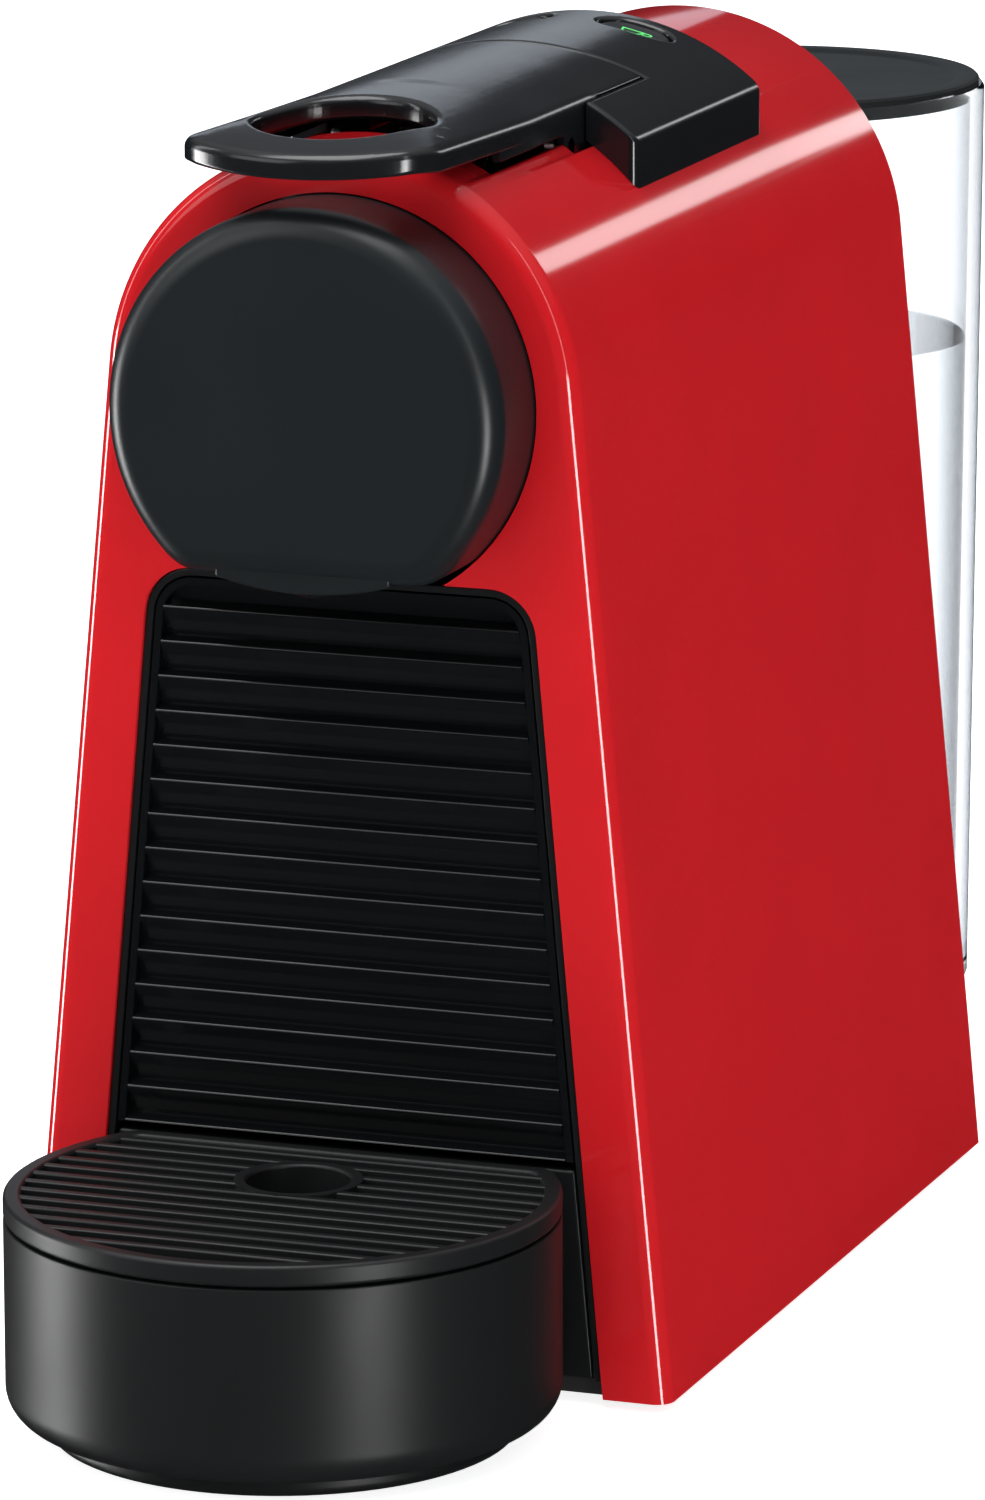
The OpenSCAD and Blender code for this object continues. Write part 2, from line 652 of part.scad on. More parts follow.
module pump_body() color("#e4e0d4") translate([pump[0], pump[1], pump_z]) difference() {
    union() {
        cylinder(r = 13, h = 16);
        cylinder(r = 7, h = 62);
        translate([0, 0, 58]) cylinder(r = 10, h = 24);
        translate([0, 0, -inlet_len]) cylinder(r = 3, h = inlet_len + 1);
    }
    translate([0, 0, 8]) cylinder(r = 5 + fit, h = 56);
    translate([0, 0, -inlet_len - cut]) cylinder(r = 1.5, h = 100);
}

module pump_coil() color("#2f3f8f") translate([pump[0], pump[1], pump_z + 16]) difference() {
    translate([-18, -17, 0]) cube([36, 34, 42]);
    translate([0, 0, -cut]) cylinder(r = 7.1, h = 44);
}

module pump_mounts() color("#252525") for (a = [0, 120, 240]) translate([pump[0], pump[1], pump_z - 4])
    rotate(a + 90) translate([10.5, 0, 0]) cylinder(r = 3.4, h = 4);

module pump_piston() color("silver") translate([pump[0], pump[1], pump_z + 22]) difference() {
    cylinder(r = 5, h = 34);
    translate([0, 0, -cut]) cylinder(r = 1.2, h = 36);
}

module pump_spring() color("silver") translate([pump[0], pump[1], pump_z + 8]) difference() {
    cylinder(r = 4.6, h = 14);
    translate([0, 0, -cut]) cylinder(r = 4, h = 16);
}

module flow_meter() color("#3a3a3c") difference() {
    union() {
        translate([meter[0], meter[1], floor_z]) cylinder(r = meter_r, h = 15);
        rod_y(3.2, meter[1], meter[1] + 20, meter[0], floor_z + 7.5);
        rod_x(3.2, meter[0] - 19, meter[0], meter[1], floor_z + 7.5);
    }
    translate([meter[0], meter[1], floor_z + 2.5]) cylinder(r = meter_r - 2, h = 20);
    rod_y(1.6, meter[1], meter[1] + 21, meter[0], floor_z + 7.5);
    rod_x(1.6, meter[0] - 20, meter[0], meter[1], floor_z + 7.5);
}

module flow_meter_cap() color("#48484a") translate([meter[0], meter[1], floor_z]) {
    translate([0, 0, 15]) cylinder(r = meter_r, h = 2.5);
    translate([0, 0, 2.5]) cylinder(r = 1, h = 13);
}

module flow_impeller() color("white") translate([meter[0], meter[1], floor_z + 3]) difference() {
    union() {
        cylinder(r = 2.6, h = 11);
        for (a = [0 : 60 : 300]) rotate(a) translate([0, -0.6, 2]) cube([meter_r - 3.2, 1.2, 7]);
    }
    translate([0, 0, -cut]) cylinder(r = 1 + fit, h = 14);
}

module tank_hose() color("#cfd2d4")
    hose([[0, spigot_y, floor_z + 2.6], [0, meter[1] + 20, floor_z + 2.6],
          [meter[0], meter[1] + 42, floor_z + 7.5], [meter[0], meter[1] + 20, floor_z + 7.5]], 2.5, 26);

module pump_hose() color("#cfd2d4")
    hose([[meter[0] - 19, meter[1], floor_z + 7.5], [meter[0] - 31, meter[1], floor_z + 7.5],
          [pump[0], pump[1], pump_z - inlet_len - 9], [pump[0], pump[1], pump_z - inlet_len]], 2.5, 22);

module pressure_tube() color("#f0efe8")
    rod_z(1.9, pump_z + 82, rail_z + 6, pump[0], pump[1]);

module cord_gland() color("#1a1a1a") difference() {
    union() {
        rod_y(5.5, rear_y - 2, back_y + 5, gland[0], gland[1]);
        rod_y(8, back_y, back_y + 1.8, gland[0], gland[1]);
    }
    rod_y(gland_bore_r, rear_y - 3, back_y + 6, gland[0], gland[1]);
}

// ---------- drip tray and capsule bin ----------
module tray_round() translate([0, tray_y, 0]) rotate_extrude() {
    square([tray_r - tray_fillet, tray_h]);
    translate([0, tray_fillet]) square([tray_r, tray_h - tray_fillet]);
    translate([tray_r - tray_fillet, tray_fillet]) circle(tray_fillet);
}

module drip_tray() color("#1a1b1d") difference() {
    union() {
        intersection() {
            tray_round();
            union() {
                block(-big, big, -big, front_y - play, 0, big);
                along_y(front_y - play - cut, front_y + 2) opening_2d(bin_in);
            }
        }
        along_y(front_y + 1, bin_back) intersection() {
            opening_2d(bin_in);
            translate([-big, floor_z + play]) square([2 * big, tray_h + 3 - floor_z - play]);
        }
    }
    // round well in front, long sump behind
    intersection() {
        translate([0, tray_y, 3]) cylinder(r = tray_r - tray_wall, h = big);
        block(-big, big, -big, front_y - tray_wall, 0, big);
    }
    block(-open_half_w + 9, open_half_w - 9, front_y + 1 + tray_wall, bin_back - tray_wall, floor_z + 2.5, big);
    block(-20, 20, front_y - 6, front_y + 6, tray_h - 14, tray_h - 4);
}

module drip_grid() color("#1d1f20") {
    top = tray_h + grid_h;
    difference() {
        translate([0, 0, tray_h]) linear_extrude(grid_h) tray_2d();
        translate([0, 0, tray_h - cut]) linear_extrude(grid_h + 2 * cut) tray_2d(2.8);
    }
    difference() {
        translate([0, 0, top - 2.2]) linear_extrude(2.2) intersection() {
            tray_2d(1.5);
            union() {
                for (y = [front_y - 5 : -grid_pitch : tray_y - tray_r]) translate([-big, y - 1.1]) square([2 * big, 2.2]);
                translate([0, tray_y + 6.8]) circle(grid_hole_r + 2);
            }
        }
        translate([0, tray_y + 6.8, 0]) cylinder(r = grid_hole_r, h = big);
    }
}

module ribbed_front() color("#0e0e0f") {
    first = open_top - 6.7;
    along_y(front_y + 2.6, front_y + 4.4) intersection() {
        opening_2d(bin_in);
        translate([-big, seam_z]) square(2 * big);
    }
    intersection() {
        along_x(-big, big) for (i = [0 : rib_count - 1]) let (z = first - i * rib_pitch)
            polygon([[front_y + 2.7, z - rib_pitch + 0.6], [front_y + 2.7, z + 0.5],
                     [front_y + 2.6 - rib_depth + 0.4, z], [front_y + 2.6 - rib_depth, z - 0.7]]);
        along_y(front_y, front_y + 3) intersection() {
            opening_2d(bin_in + 1.2);
            translate([-big, seam_z]) square(2 * big);
        }
    }
}

module capsule_bin() color("#232426") difference() {
    along_y(front_y + 4.4, bin_back) bin_2d(0, bin_top);
    along_y(front_y + 4.4 + bin_wall, bin_back - bin_wall) bin_2d(bin_wall, bin_top + cut);
}
module bin_2d(inset, top) intersection() {
    opening_2d(bin_in + 1 + inset);
    translate([-big, seam_z + inset]) square([2 * big, top - seam_z - inset]);
}

// ---------- water tank ----------
module water_tank() color([0.8, 0.85, 0.9, 0.4]) translate([0, tank_y, 0]) difference() {
    translate([0, 0, tank_bottom]) cylinder(r1 = tank_r - tank_taper, r2 = tank_r, h = tank_top - tank_bottom);
    translate([0, 0, tank_bottom + 3])
        cylinder(r1 = tank_r - tank_taper - tank_wall, r2 = tank_r - tank_wall, h = tank_top - tank_bottom - 3 + 0.001);
    translate([0, spigot_y - tank_y, 0]) cylinder(r = spigot_r + 2.5, h = 30);
}

module valve_body() color("#2b2c2e") translate([0, spigot_y, tank_bottom]) difference() {
    union() {
        cylinder(r = spigot_r + 2.5, h = 9);
        translate([0, 0, 3]) cylinder(r = spigot_r + 4, h = 1.5);
    }
    translate([0, 0, -cut]) cylinder(r = spigot_r + 0.3, h = 3.6 + cut);
    translate([0, 0, 2]) cylinder(r = 2.4, h = 20);
    translate([0, 0, 4.6]) cylinder(r = spigot_r + 0.6, h = 20);
}

module valve_seal() color("#111111") translate([0, spigot_y, tank_bottom + 4.6]) difference() {
    cylinder(r = spigot_r + 0.6, h = 0.8);
    translate([0, 0, -cut]) cylinder(r = 2.4, h = 4);
}

module valve_plunger() color("white") translate([0, spigot_y, tank_bottom + 2.2]) {
    cylinder(r = 2, h = 6);
    translate([0, 0, 3.4]) cylinder(r = 3.6, h = 1.2);
}

module tank_lid() color("#222326") translate([0, tank_y, 0]) difference() {
    union() {
        translate([0, 0, tank_top - 2.6]) cylinder(r = tank_r - tank_wall - play, h = 3);
        translate([0, 0, tank_top + 0.1]) cylinder(r = tank_r - 1, h = 1.2);
    }
    translate([0, 0, tank_top - 2.6 - cut]) cylinder(r = tank_r - tank_wall - play - 1.8, h = 2.2 + cut);
}

// ---------- assembly ----------
housing_shell();
front_liner();
base_plate();
rubber_feet();
chassis();
rear_panel();
tank_dock();
dock_spigot();
top_cover();
head_cap();
coffee_spout();
extraction_duct();
brew_frame();
piercing_plate();
plate_seal();
frame_screws();
base_screws();
pivot_pins();
ui_board();
button_switches();
espresso_button_spring();
lungo_button_spring();
espresso_button();
lungo_button();
lever_handle();
crank_pins();
cage_links();
capsule_cage();
cage_pins();
piercing_needles();
water_stem();
inlet_sleeve();
thermoblock();
thermostat();
thermal_fuses();
heater_terminals();
main_board();
board_parts();
pump_body();
pump_coil();
pump_mounts();
pump_piston();
pump_spring();
flow_meter();
flow_meter_cap();
flow_impeller();
tank_hose();
pump_hose();
pressure_tube();
cord_gland();
drip_tray();
drip_grid();
capsule_bin();
ribbed_front();
water_tank();
valve_body();
valve_seal();
valve_plunger();
tank_lid();
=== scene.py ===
"""A compact capsule espresso machine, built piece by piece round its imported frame."""

import json
import math

import bmesh
import bpy
from mathutils import Matrix, Vector


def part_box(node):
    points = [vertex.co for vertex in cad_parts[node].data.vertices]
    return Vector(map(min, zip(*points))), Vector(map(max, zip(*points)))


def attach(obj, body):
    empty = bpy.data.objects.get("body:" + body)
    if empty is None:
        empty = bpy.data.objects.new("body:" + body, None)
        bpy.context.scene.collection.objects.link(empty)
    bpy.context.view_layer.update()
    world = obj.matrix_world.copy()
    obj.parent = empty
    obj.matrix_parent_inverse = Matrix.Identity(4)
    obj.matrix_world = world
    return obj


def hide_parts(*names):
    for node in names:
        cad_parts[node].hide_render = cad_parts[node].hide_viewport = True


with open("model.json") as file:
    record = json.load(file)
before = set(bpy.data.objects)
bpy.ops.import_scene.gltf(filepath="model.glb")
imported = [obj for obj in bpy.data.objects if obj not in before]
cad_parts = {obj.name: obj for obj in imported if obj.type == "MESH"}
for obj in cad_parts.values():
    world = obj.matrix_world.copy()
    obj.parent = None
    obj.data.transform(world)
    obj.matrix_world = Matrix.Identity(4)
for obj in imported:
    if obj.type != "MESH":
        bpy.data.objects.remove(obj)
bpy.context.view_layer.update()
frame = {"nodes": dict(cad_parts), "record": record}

# ---------------------------------------------------------------------------------------
# Camera: a long lens on a stand about a metre and a half away, a little above the machine.
# It is turned to show the front and the right side.
view_turn = math.radians(20.09)
view_tilt = math.radians(12.70)
view_roll = math.radians(-0.15)
view_distance = 1.4293
aim = Vector((0.0029, -0.0309, 0.0905))
towards_camera = Vector((
    math.sin(view_turn) * math.cos(view_tilt),
    -math.cos(view_turn) * math.cos(view_tilt),
    math.sin(view_tilt),
))
camera_data = bpy.data.cameras.new("camera")
camera_data.sensor_fit = "VERTICAL"
camera_data.sensor_height = 36.0
camera_data.lens = 209.34
camera_data.clip_end = 50.0
camera = bpy.data.objects.new("camera", camera_data)
camera.matrix_world = (
    Matrix.Translation(aim + towards_camera * view_distance)
    @ towards_camera.to_track_quat("Z", "Y").to_matrix().to_4x4()
    @ Matrix.Rotation(view_roll, 4, "Z")
)
bpy.context.collection.objects.link(camera)
bpy.context.scene.camera = camera
bpy.context.scene.view_settings.view_transform = "Standard"

# ---------------------------------------------------------------------------------------
# Studio: a pale floor, a soft sky that is brighter overhead, and soft boxes. The bar behind
# draws the band along the shell's shoulder, the upright strips draw the thin edge lines, and
# the two low glint boxes draw the soft highlights on the tray.


def sky():
    world = bpy.data.worlds.new("studio_sky")
    world.use_nodes = True
    bpy.context.scene.world = world
    nodes, links = world.node_tree.nodes, world.node_tree.links
    nodes.clear()
    where = nodes.new("ShaderNodeTexCoord")
    split = nodes.new("ShaderNodeSeparateXYZ")
    links.new(where.outputs["Generated"], split.inputs[0])
    ramp = nodes.new("ShaderNodeValToRGB")
    ramp.color_ramp.elements[0].position = 0.0
    ramp.color_ramp.elements[0].color = (0.012, 0.012, 0.014, 1)
    ramp.color_ramp.elements[1].position = 1.0
    ramp.color_ramp.elements[1].color = (0.85, 0.87, 0.90, 1)
    middle = ramp.color_ramp.elements.new(0.35)
    middle.color = (0.05, 0.052, 0.058, 1)
    links.new(split.outputs["Z"], ramp.inputs[0])
    soft = nodes.new("ShaderNodeBackground")
    links.new(ramp.outputs[0], soft.inputs["Color"])
    white = nodes.new("ShaderNodeBackground")
    white.inputs["Color"].default_value = (1, 1, 1, 1)
    ray = nodes.new("ShaderNodeLightPath")
    seen = nodes.new("ShaderNodeMath")
    seen.operation = "MAXIMUM"
    links.new(ray.outputs["Is Camera Ray"], seen.inputs[0])
    links.new(ray.outputs["Is Transmission Ray"], seen.inputs[1])
    mix = nodes.new("ShaderNodeMixShader")
    links.new(seen.outputs[0], mix.inputs[0])
    links.new(soft.outputs[0], mix.inputs[1])
    links.new(white.outputs[0], mix.inputs[2])
    out = nodes.new("ShaderNodeOutputWorld")
    links.new(mix.outputs[0], out.inputs["Surface"])


def soft_box(name, towards, distance, width, height, power, turn=0, colour=(1, 1, 1)):
    """An area light in a direction from the machine's middle, turned about that direction."""
    middle = Vector((0, 0, 0.1))
    light = bpy.data.lights.new(name, "AREA")
    light.shape = "RECTANGLE"
    light.size = width
    light.size_y = height
    light.energy = power
    light.color = colour
    lamp = bpy.data.objects.new(name, light)
    facing = Vector(towards).normalized()
    lamp.matrix_world = (
        Matrix.Translation(middle + facing * distance)
        @ facing.to_track_quat("Z", "Y").to_matrix().to_4x4()
        @ Matrix.Rotation(math.radians(turn), 4, "Z")
    )
    bpy.context.collection.objects.link(lamp)


def studio_floor():
    bm = bmesh.new()
    floor_half = 12
    bmesh.ops.create_grid(bm, x_segments=1, y_segments=1, size=floor_half)
    mesh = bpy.data.meshes.new("floor")
    bm.to_mesh(mesh)
    bm.free()
    floor = bpy.data.objects.new("floor", mesh)
    bpy.context.collection.objects.link(floor)
    paint = bpy.data.materials.new("floor_white")
    paint.use_nodes = True
    shader = paint.node_tree.nodes["Principled BSDF"]
    shader.inputs["Base Color"].default_value = (0.9, 0.9, 0.9, 1)
    shader.inputs["Roughness"].default_value = 0.9
    shader.inputs["Emission Color"].default_value = (1, 1, 1, 1)
    shader.inputs["Emission Strength"].default_value = 0.85
    mesh.materials.append(paint)
    floor.visible_glossy = False


sky()
studio_floor()
soft_box("top_box", (-0.10, -0.28, 1.0), 1.7, 1.2, 1.2, 24)
soft_box("front_box", (-0.75, -1.0, 0.55), 1.8, 1.0, 0.9, 5)
soft_box("left_strip", (-0.96, -0.17, 0.0), 1.6, 0.16, 3.0, 9)
soft_box("right_strip", (0.78, -0.60, 0.0), 1.6, 0.14, 3.0, 6)
soft_box("left_glint", (-0.96, -0.17, -0.20), 1.6, 0.36, 0.7, 14)
soft_box("right_glint", (0.78, -0.60, -0.20), 1.6, 0.36, 0.7, 14)
soft_box("shoulder_bar", (0.286, 0.916, 0.279), 2.0, 0.14, 0.8, 1.1, turn=47)
soft_box("sheen_box", (-0.42, 0.87, 0.26), 2.0, 0.8, 0.4, 0.8, colour=(0.82, 0.9, 1.0))

# ---------------------------------------------------------------------------------------
# Housing shell: one moulding in glossy red plastic, an arch on straight leaning sides.
# Its front edge is rounded. The front wall is open for the head and the capsule bin, and the
# crown for the lever, the capsule and the top cover.
MM = 0.001


def moulded(name, colour, roughness, texture=0.02, grain=900.0, specular=0.5):
    """Moulded plastic: a faint mottle in colour and gloss, and a fine moulding texture."""
    paint = bpy.data.materials.new(name)
    paint.use_nodes = True
    nodes, links = paint.node_tree.nodes, paint.node_tree.links
    shader = nodes["Principled BSDF"]
    shader.inputs["Specular IOR Level"].default_value = specular
    where = nodes.new("ShaderNodeTexCoord")
    cloud = nodes.new("ShaderNodeTexNoise")
    cloud.inputs["Scale"].default_value = 45.0
    cloud.inputs["Detail"].default_value = 5.0
    links.new(where.outputs["Object"], cloud.inputs["Vector"])
    tint = nodes.new("ShaderNodeValToRGB")
    mottle = 0.035
    tint.color_ramp.elements[0].position = 0.3
    tint.color_ramp.elements[0].color = [c * (1 - mottle) for c in colour] + [1]
    tint.color_ramp.elements[1].position = 0.7
    tint.color_ramp.elements[1].color = [min(1, c * (1 + mottle)) for c in colour] + [1]
    links.new(cloud.outputs["Fac"], tint.inputs[0])
    links.new(tint.outputs[0], shader.inputs["Base Color"])
    gloss = nodes.new("ShaderNodeMapRange")
    patchy = 0.12
    gloss.inputs["To Min"].default_value = roughness * (1 - patchy)
    gloss.inputs["To Max"].default_value = roughness * (1 + patchy)
    links.new(cloud.outputs["Fac"], gloss.inputs["Value"])
    links.new(gloss.outputs[0], shader.inputs["Roughness"])
    fine = nodes.new("ShaderNodeTexNoise")
    fine.inputs["Scale"].default_value = grain
    fine.inputs["Detail"].default_value = 3.0
    links.new(where.outputs["Object"], fine.inputs["Vector"])
    bump = nodes.new("ShaderNodeBump")
    bump.inputs["Strength"].default_value = texture
    bump.inputs["Distance"].default_value = 0.0002
    links.new(fine.outputs["Fac"], bump.inputs["Height"])
    links.new(bump.outputs[0], shader.inputs["Normal"])
    return paint


def line_on(bm, vert, point):
    """Carries an outline on from a vertex along a straight stretch."""
    new = bm.verts.new(point)
    bm.edges.new((vert, new))
    return new


def arc_on(bm, vert, centre, degrees, steps, axis=(0, 1, 0)):
    """Carries an outline on from a vertex along a round stretch, and gives its last vertex."""
    swept = bmesh.ops.spin(
        bm, geom=[vert], cent=centre, axis=axis, angle=math.radians(degrees),
        steps=steps, use_merge=False, use_duplicate=False,
    )
    return [g for g in swept["geom_last"] if isinstance(g, bmesh.types.BMVert)][0]


def push(bm, faces, by):
    """Extrudes faces by a vector into a solid, and gives the moved vertices."""
    grown = bmesh.ops.extrude_face_region(bm, geom=faces)["geom"]
    verts = [g for g in grown if isinstance(g, bmesh.types.BMVert)]
    bmesh.ops.translate(bm, verts=verts, vec=by)
    return verts


def drawn_out(bm, edges, by):
    """Extrudes a line of edges by a vector into an open sheet."""
    grown = bmesh.ops.extrude_edge_only(bm, edges=edges)["geom"]
    bmesh.ops.translate(bm, verts=[g for g in grown if isinstance(g, bmesh.types.BMVert)], vec=by)


def split(bm, faces, place, normal, trim=False):
    """Cuts faces where a plane meets them, and may trim off what lies beyond it."""
    edges = dict.fromkeys(e for f in faces for e in f.edges)
    verts = dict.fromkeys(v for f in faces for v in f.verts)
    bmesh.ops.bisect_plane(
        bm, geom=[*faces, *edges, *verts], dist=1e-6,
        plane_co=place, plane_no=normal, clear_outer=trim,
    )


def round_edges(bm, radius, segments=3, over=40, where=None):
    """Rounds every edge sharper than a given angle, or those that a test picks."""
    edges = [
        e for e in bm.edges
        if len(e.link_faces) == 2
        and e.calc_face_angle(0) > math.radians(over)
        and (where is None or where(e))
    ]
    bmesh.ops.bevel(
        bm, geom=edges, offset=radius, offset_type="OFFSET", segments=segments,
        profile=0.5, affect="EDGES", material=-1, clamp_overlap=True,
    )


def finished(name, bm, material, body, stands_for=(), sharp=30, wall=0):
    """Makes a piece of a bmesh, smooth up to a sharp angle, and puts it on its body."""
    mesh = bpy.data.meshes.new(name)
    bm.to_mesh(mesh)
    bm.free()
    mesh.materials.append(material)
    mesh.shade_smooth()
    mesh.set_sharp_from_angle(angle=math.radians(sharp))
    thing = bpy.data.objects.new(name, mesh)
    bpy.context.collection.objects.link(thing)
    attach(thing, body)
    if stands_for:
        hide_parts(*stands_for)
    if wall:
        skin = thing.modifiers.new("wall", "SOLIDIFY")
        skin.thickness = wall
        skin.offset = -1
        skin.use_even_offset = True
    # keeps broad faces flat-looking beside the rounded edges that meet them
    normals = thing.modifiers.new("even_shading", "WEIGHTED_NORMAL")
    normals.keep_sharp = True
    normals.weight = 80


shell_low, shell_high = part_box("housing_shell")
arch_r = 39.4 * MM
arch_z = shell_high.z - arch_r
half_floor = 55 * MM
shell_wall = 2.2 * MM
head_hole_r = 33 * MM
head_z = arch_z - 1 * MM
open_half = 44 * MM
open_slope = 0.09
open_top = 131 * MM
open_corner = 8 * MM
open_tilt = math.atan(open_slope)
corner_z = open_top - open_corner
corner_x = open_half - open_slope * corner_z - open_corner / math.cos(open_tilt)
foot_reach = math.hypot(half_floor, arch_z)
# the angle above level, seen from the arch's middle, at which a straight side meets the arch
lean = math.atan2(arch_z, -half_floor) - math.asin(arch_r / foot_reach) - math.pi / 2
gloss_red = moulded("shell_red", (0.50, 0.010, 0.014), 0.10, texture=0.008, grain=400)


def leaning_half(z, inset=0.0):
    """Half width of the front opening at a height, less an inset from its leaning side."""
    return open_half - open_slope * z - inset / math.cos(open_tilt)


def housing_shell():
    y, z = shell_low.y, shell_low.z
    bm = bmesh.new()
    first = bm.verts.new((shell_high.x, y, z))
    vert = line_on(bm, first, (arch_r * math.cos(lean), y, arch_z + arch_r * math.sin(lean)))
    vert = arc_on(bm, vert, (0, y, arch_z), -(180 - 2 * math.degrees(lean)), 96)
    vert = line_on(bm, vert, (-shell_high.x, y, z))
    outer = list(bm.edges)
    # the inner edge of the front wall: left leg, corner, round hole of the head, and back
    tilt = math.degrees(open_tilt)
    cusp = math.sqrt(head_hole_r ** 2 - (head_z - open_top) ** 2)
    turn = math.degrees(math.atan2(head_z - open_top, cusp))
    side_x = corner_x + open_corner * math.cos(open_tilt)
    side_z = corner_z + open_corner * math.sin(open_tilt)
    vert = line_on(bm, vert, (-leaning_half(z), y, z))
    vert = line_on(bm, vert, (-side_x, y, side_z))
    vert = arc_on(bm, vert, (-corner_x, y, corner_z), 90 - tilt, 10)
    vert = line_on(bm, vert, (-cusp, y, open_top))
    vert = arc_on(bm, vert, (0, y, head_z), 180 + 2 * turn, 96)
    vert = line_on(bm, vert, (corner_x, y, open_top))
    vert = arc_on(bm, vert, (corner_x, y, corner_z), 90 - tilt, 10)
    vert = line_on(bm, vert, (leaning_half(z), y, z))
    bm.edges.new((vert, first))
    bmesh.ops.contextual_create(bm, geom=bm.edges[:])
    # the arched skin runs back from the outer edge
    drawn_out(bm, outer, (0, shell_high.y - shell_low.y, 0))
    bmesh.ops.recalc_face_normals(bm, faces=bm.faces[:])
    front = [f for f in bm.faces if abs(f.normal.y) > 0.9][0]
    if front.normal.y > 0:
        bmesh.ops.reverse_faces(bm, faces=bm.faces[:])
    round_edges(bm, 3 * MM, segments=8, over=60)
    for inner_half, start, end in crown_openings():
        # the wall is cut square to the crown, so the outside is cut wider than the inside
        half = inner_half * arch_r / (arch_r - shell_wall)
        for x in (-half, half):
            split(bm, crown_faces(bm), (x, 0, 0), (1, 0, 0))
        for y_cut in (start, end):
            split(bm, crown_faces(bm), (0, y_cut, 0), (0, 1, 0))
        gone = [
            f for f in crown_faces(bm)
            if abs(f.calc_center_median().x) < half and start < f.calc_center_median().y < end
        ]
        bmesh.ops.delete(bm, geom=gone, context="FACES")
    finished("shell", bm, gloss_red, "machine", ["housing_shell"], sharp=35, wall=shell_wall)


def crown_faces(bm):
    """The outer faces high on the arch."""
    crown_foot = arch_z + 15 * MM
    return [f for f in bm.faces if f.calc_center_median().z > crown_foot and f.normal.z > 0.5]


def crown_openings():
    """Inner half width, front and back of: capsule slot, lever well, pin pockets, cover well."""
    slot = (19.2 * MM, -78.7 * MM, -46.0 * MM)
    well = (21.3 * MM, -46.0 * MM, -6.5 * MM)
    pins = (28.0 * MM, -32.6 * MM, -28.4 * MM)
    cover = (24.0 * MM, -6.5 * MM, 23.9 * MM)
    return slot, well, pins, cover


housing_shell()

# ---------------------------------------------------------------------------------------
# Front liner: a thin frame in satin black plastic, which lines the shell's front opening.
# It is set in from behind, with a hair's gap to the shell.
satin_black = moulded("black_satin", (0.007, 0.0075, 0.008), 0.33, texture=0.03, specular=0.4)


def opening_edge(bm, y, inset, bottom):
    """Draws the front opening's outline from its bottom right round to its bottom left."""
    radius = open_corner - inset
    tilt = math.degrees(open_tilt)
    side_x = corner_x + radius * math.cos(open_tilt)
    side_z = corner_z + radius * math.sin(open_tilt)
    first = bm.verts.new((leaning_half(bottom, inset), y, bottom))
    vert = line_on(bm, first, (side_x, y, side_z))
    vert = arc_on(bm, vert, (corner_x, y, corner_z), -(90 - tilt), 8)
    vert = line_on(bm, vert, (-corner_x, y, corner_z + radius))
    vert = arc_on(bm, vert, (-corner_x, y, corner_z), -(90 - tilt), 8)
    last = line_on(bm, vert, (-leaning_half(bottom, inset), y, bottom))
    return first, last


def front_liner():
    bm = bmesh.new()
    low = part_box("front_liner")[0]
    gap, inner_edge, depth = 0.15 * MM, 1.4 * MM, 5.5 * MM
    for inset in (gap, inner_edge):
        opening_edge(bm, low.y, inset, low.z)
    bmesh.ops.bridge_loops(bm, edges=bm.edges[:])
    push(bm, bm.faces[:], (0, depth, 0))
    bmesh.ops.recalc_face_normals(bm, faces=bm.faces[:])
    round_edges(bm, 0.3 * MM, segments=2, over=60)
    finished("front_frame", bm, satin_black, "machine", ["front_liner"])


front_liner()

# ---------------------------------------------------------------------------------------
# Capsule bin: its ribbed front in glossy black plastic is fixed on the bin's front wall. Each
# rib is a slat with a rounded lip, and a slim frame closes the ribs' ends.
gloss_black = moulded("black_gloss", (0.004, 0.0045, 0.005), 0.17, texture=0.01, specular=0.45)
rib_pitch = 5.63 * MM
rib_count = 16
rib_top = open_top - 6.7 * MM
bin_inset = 1.7 * MM


def open_faces(bm):
    """The faces that end in a free edge."""
    return [f for f in bm.faces if any(e.is_boundary for e in f.edges)]


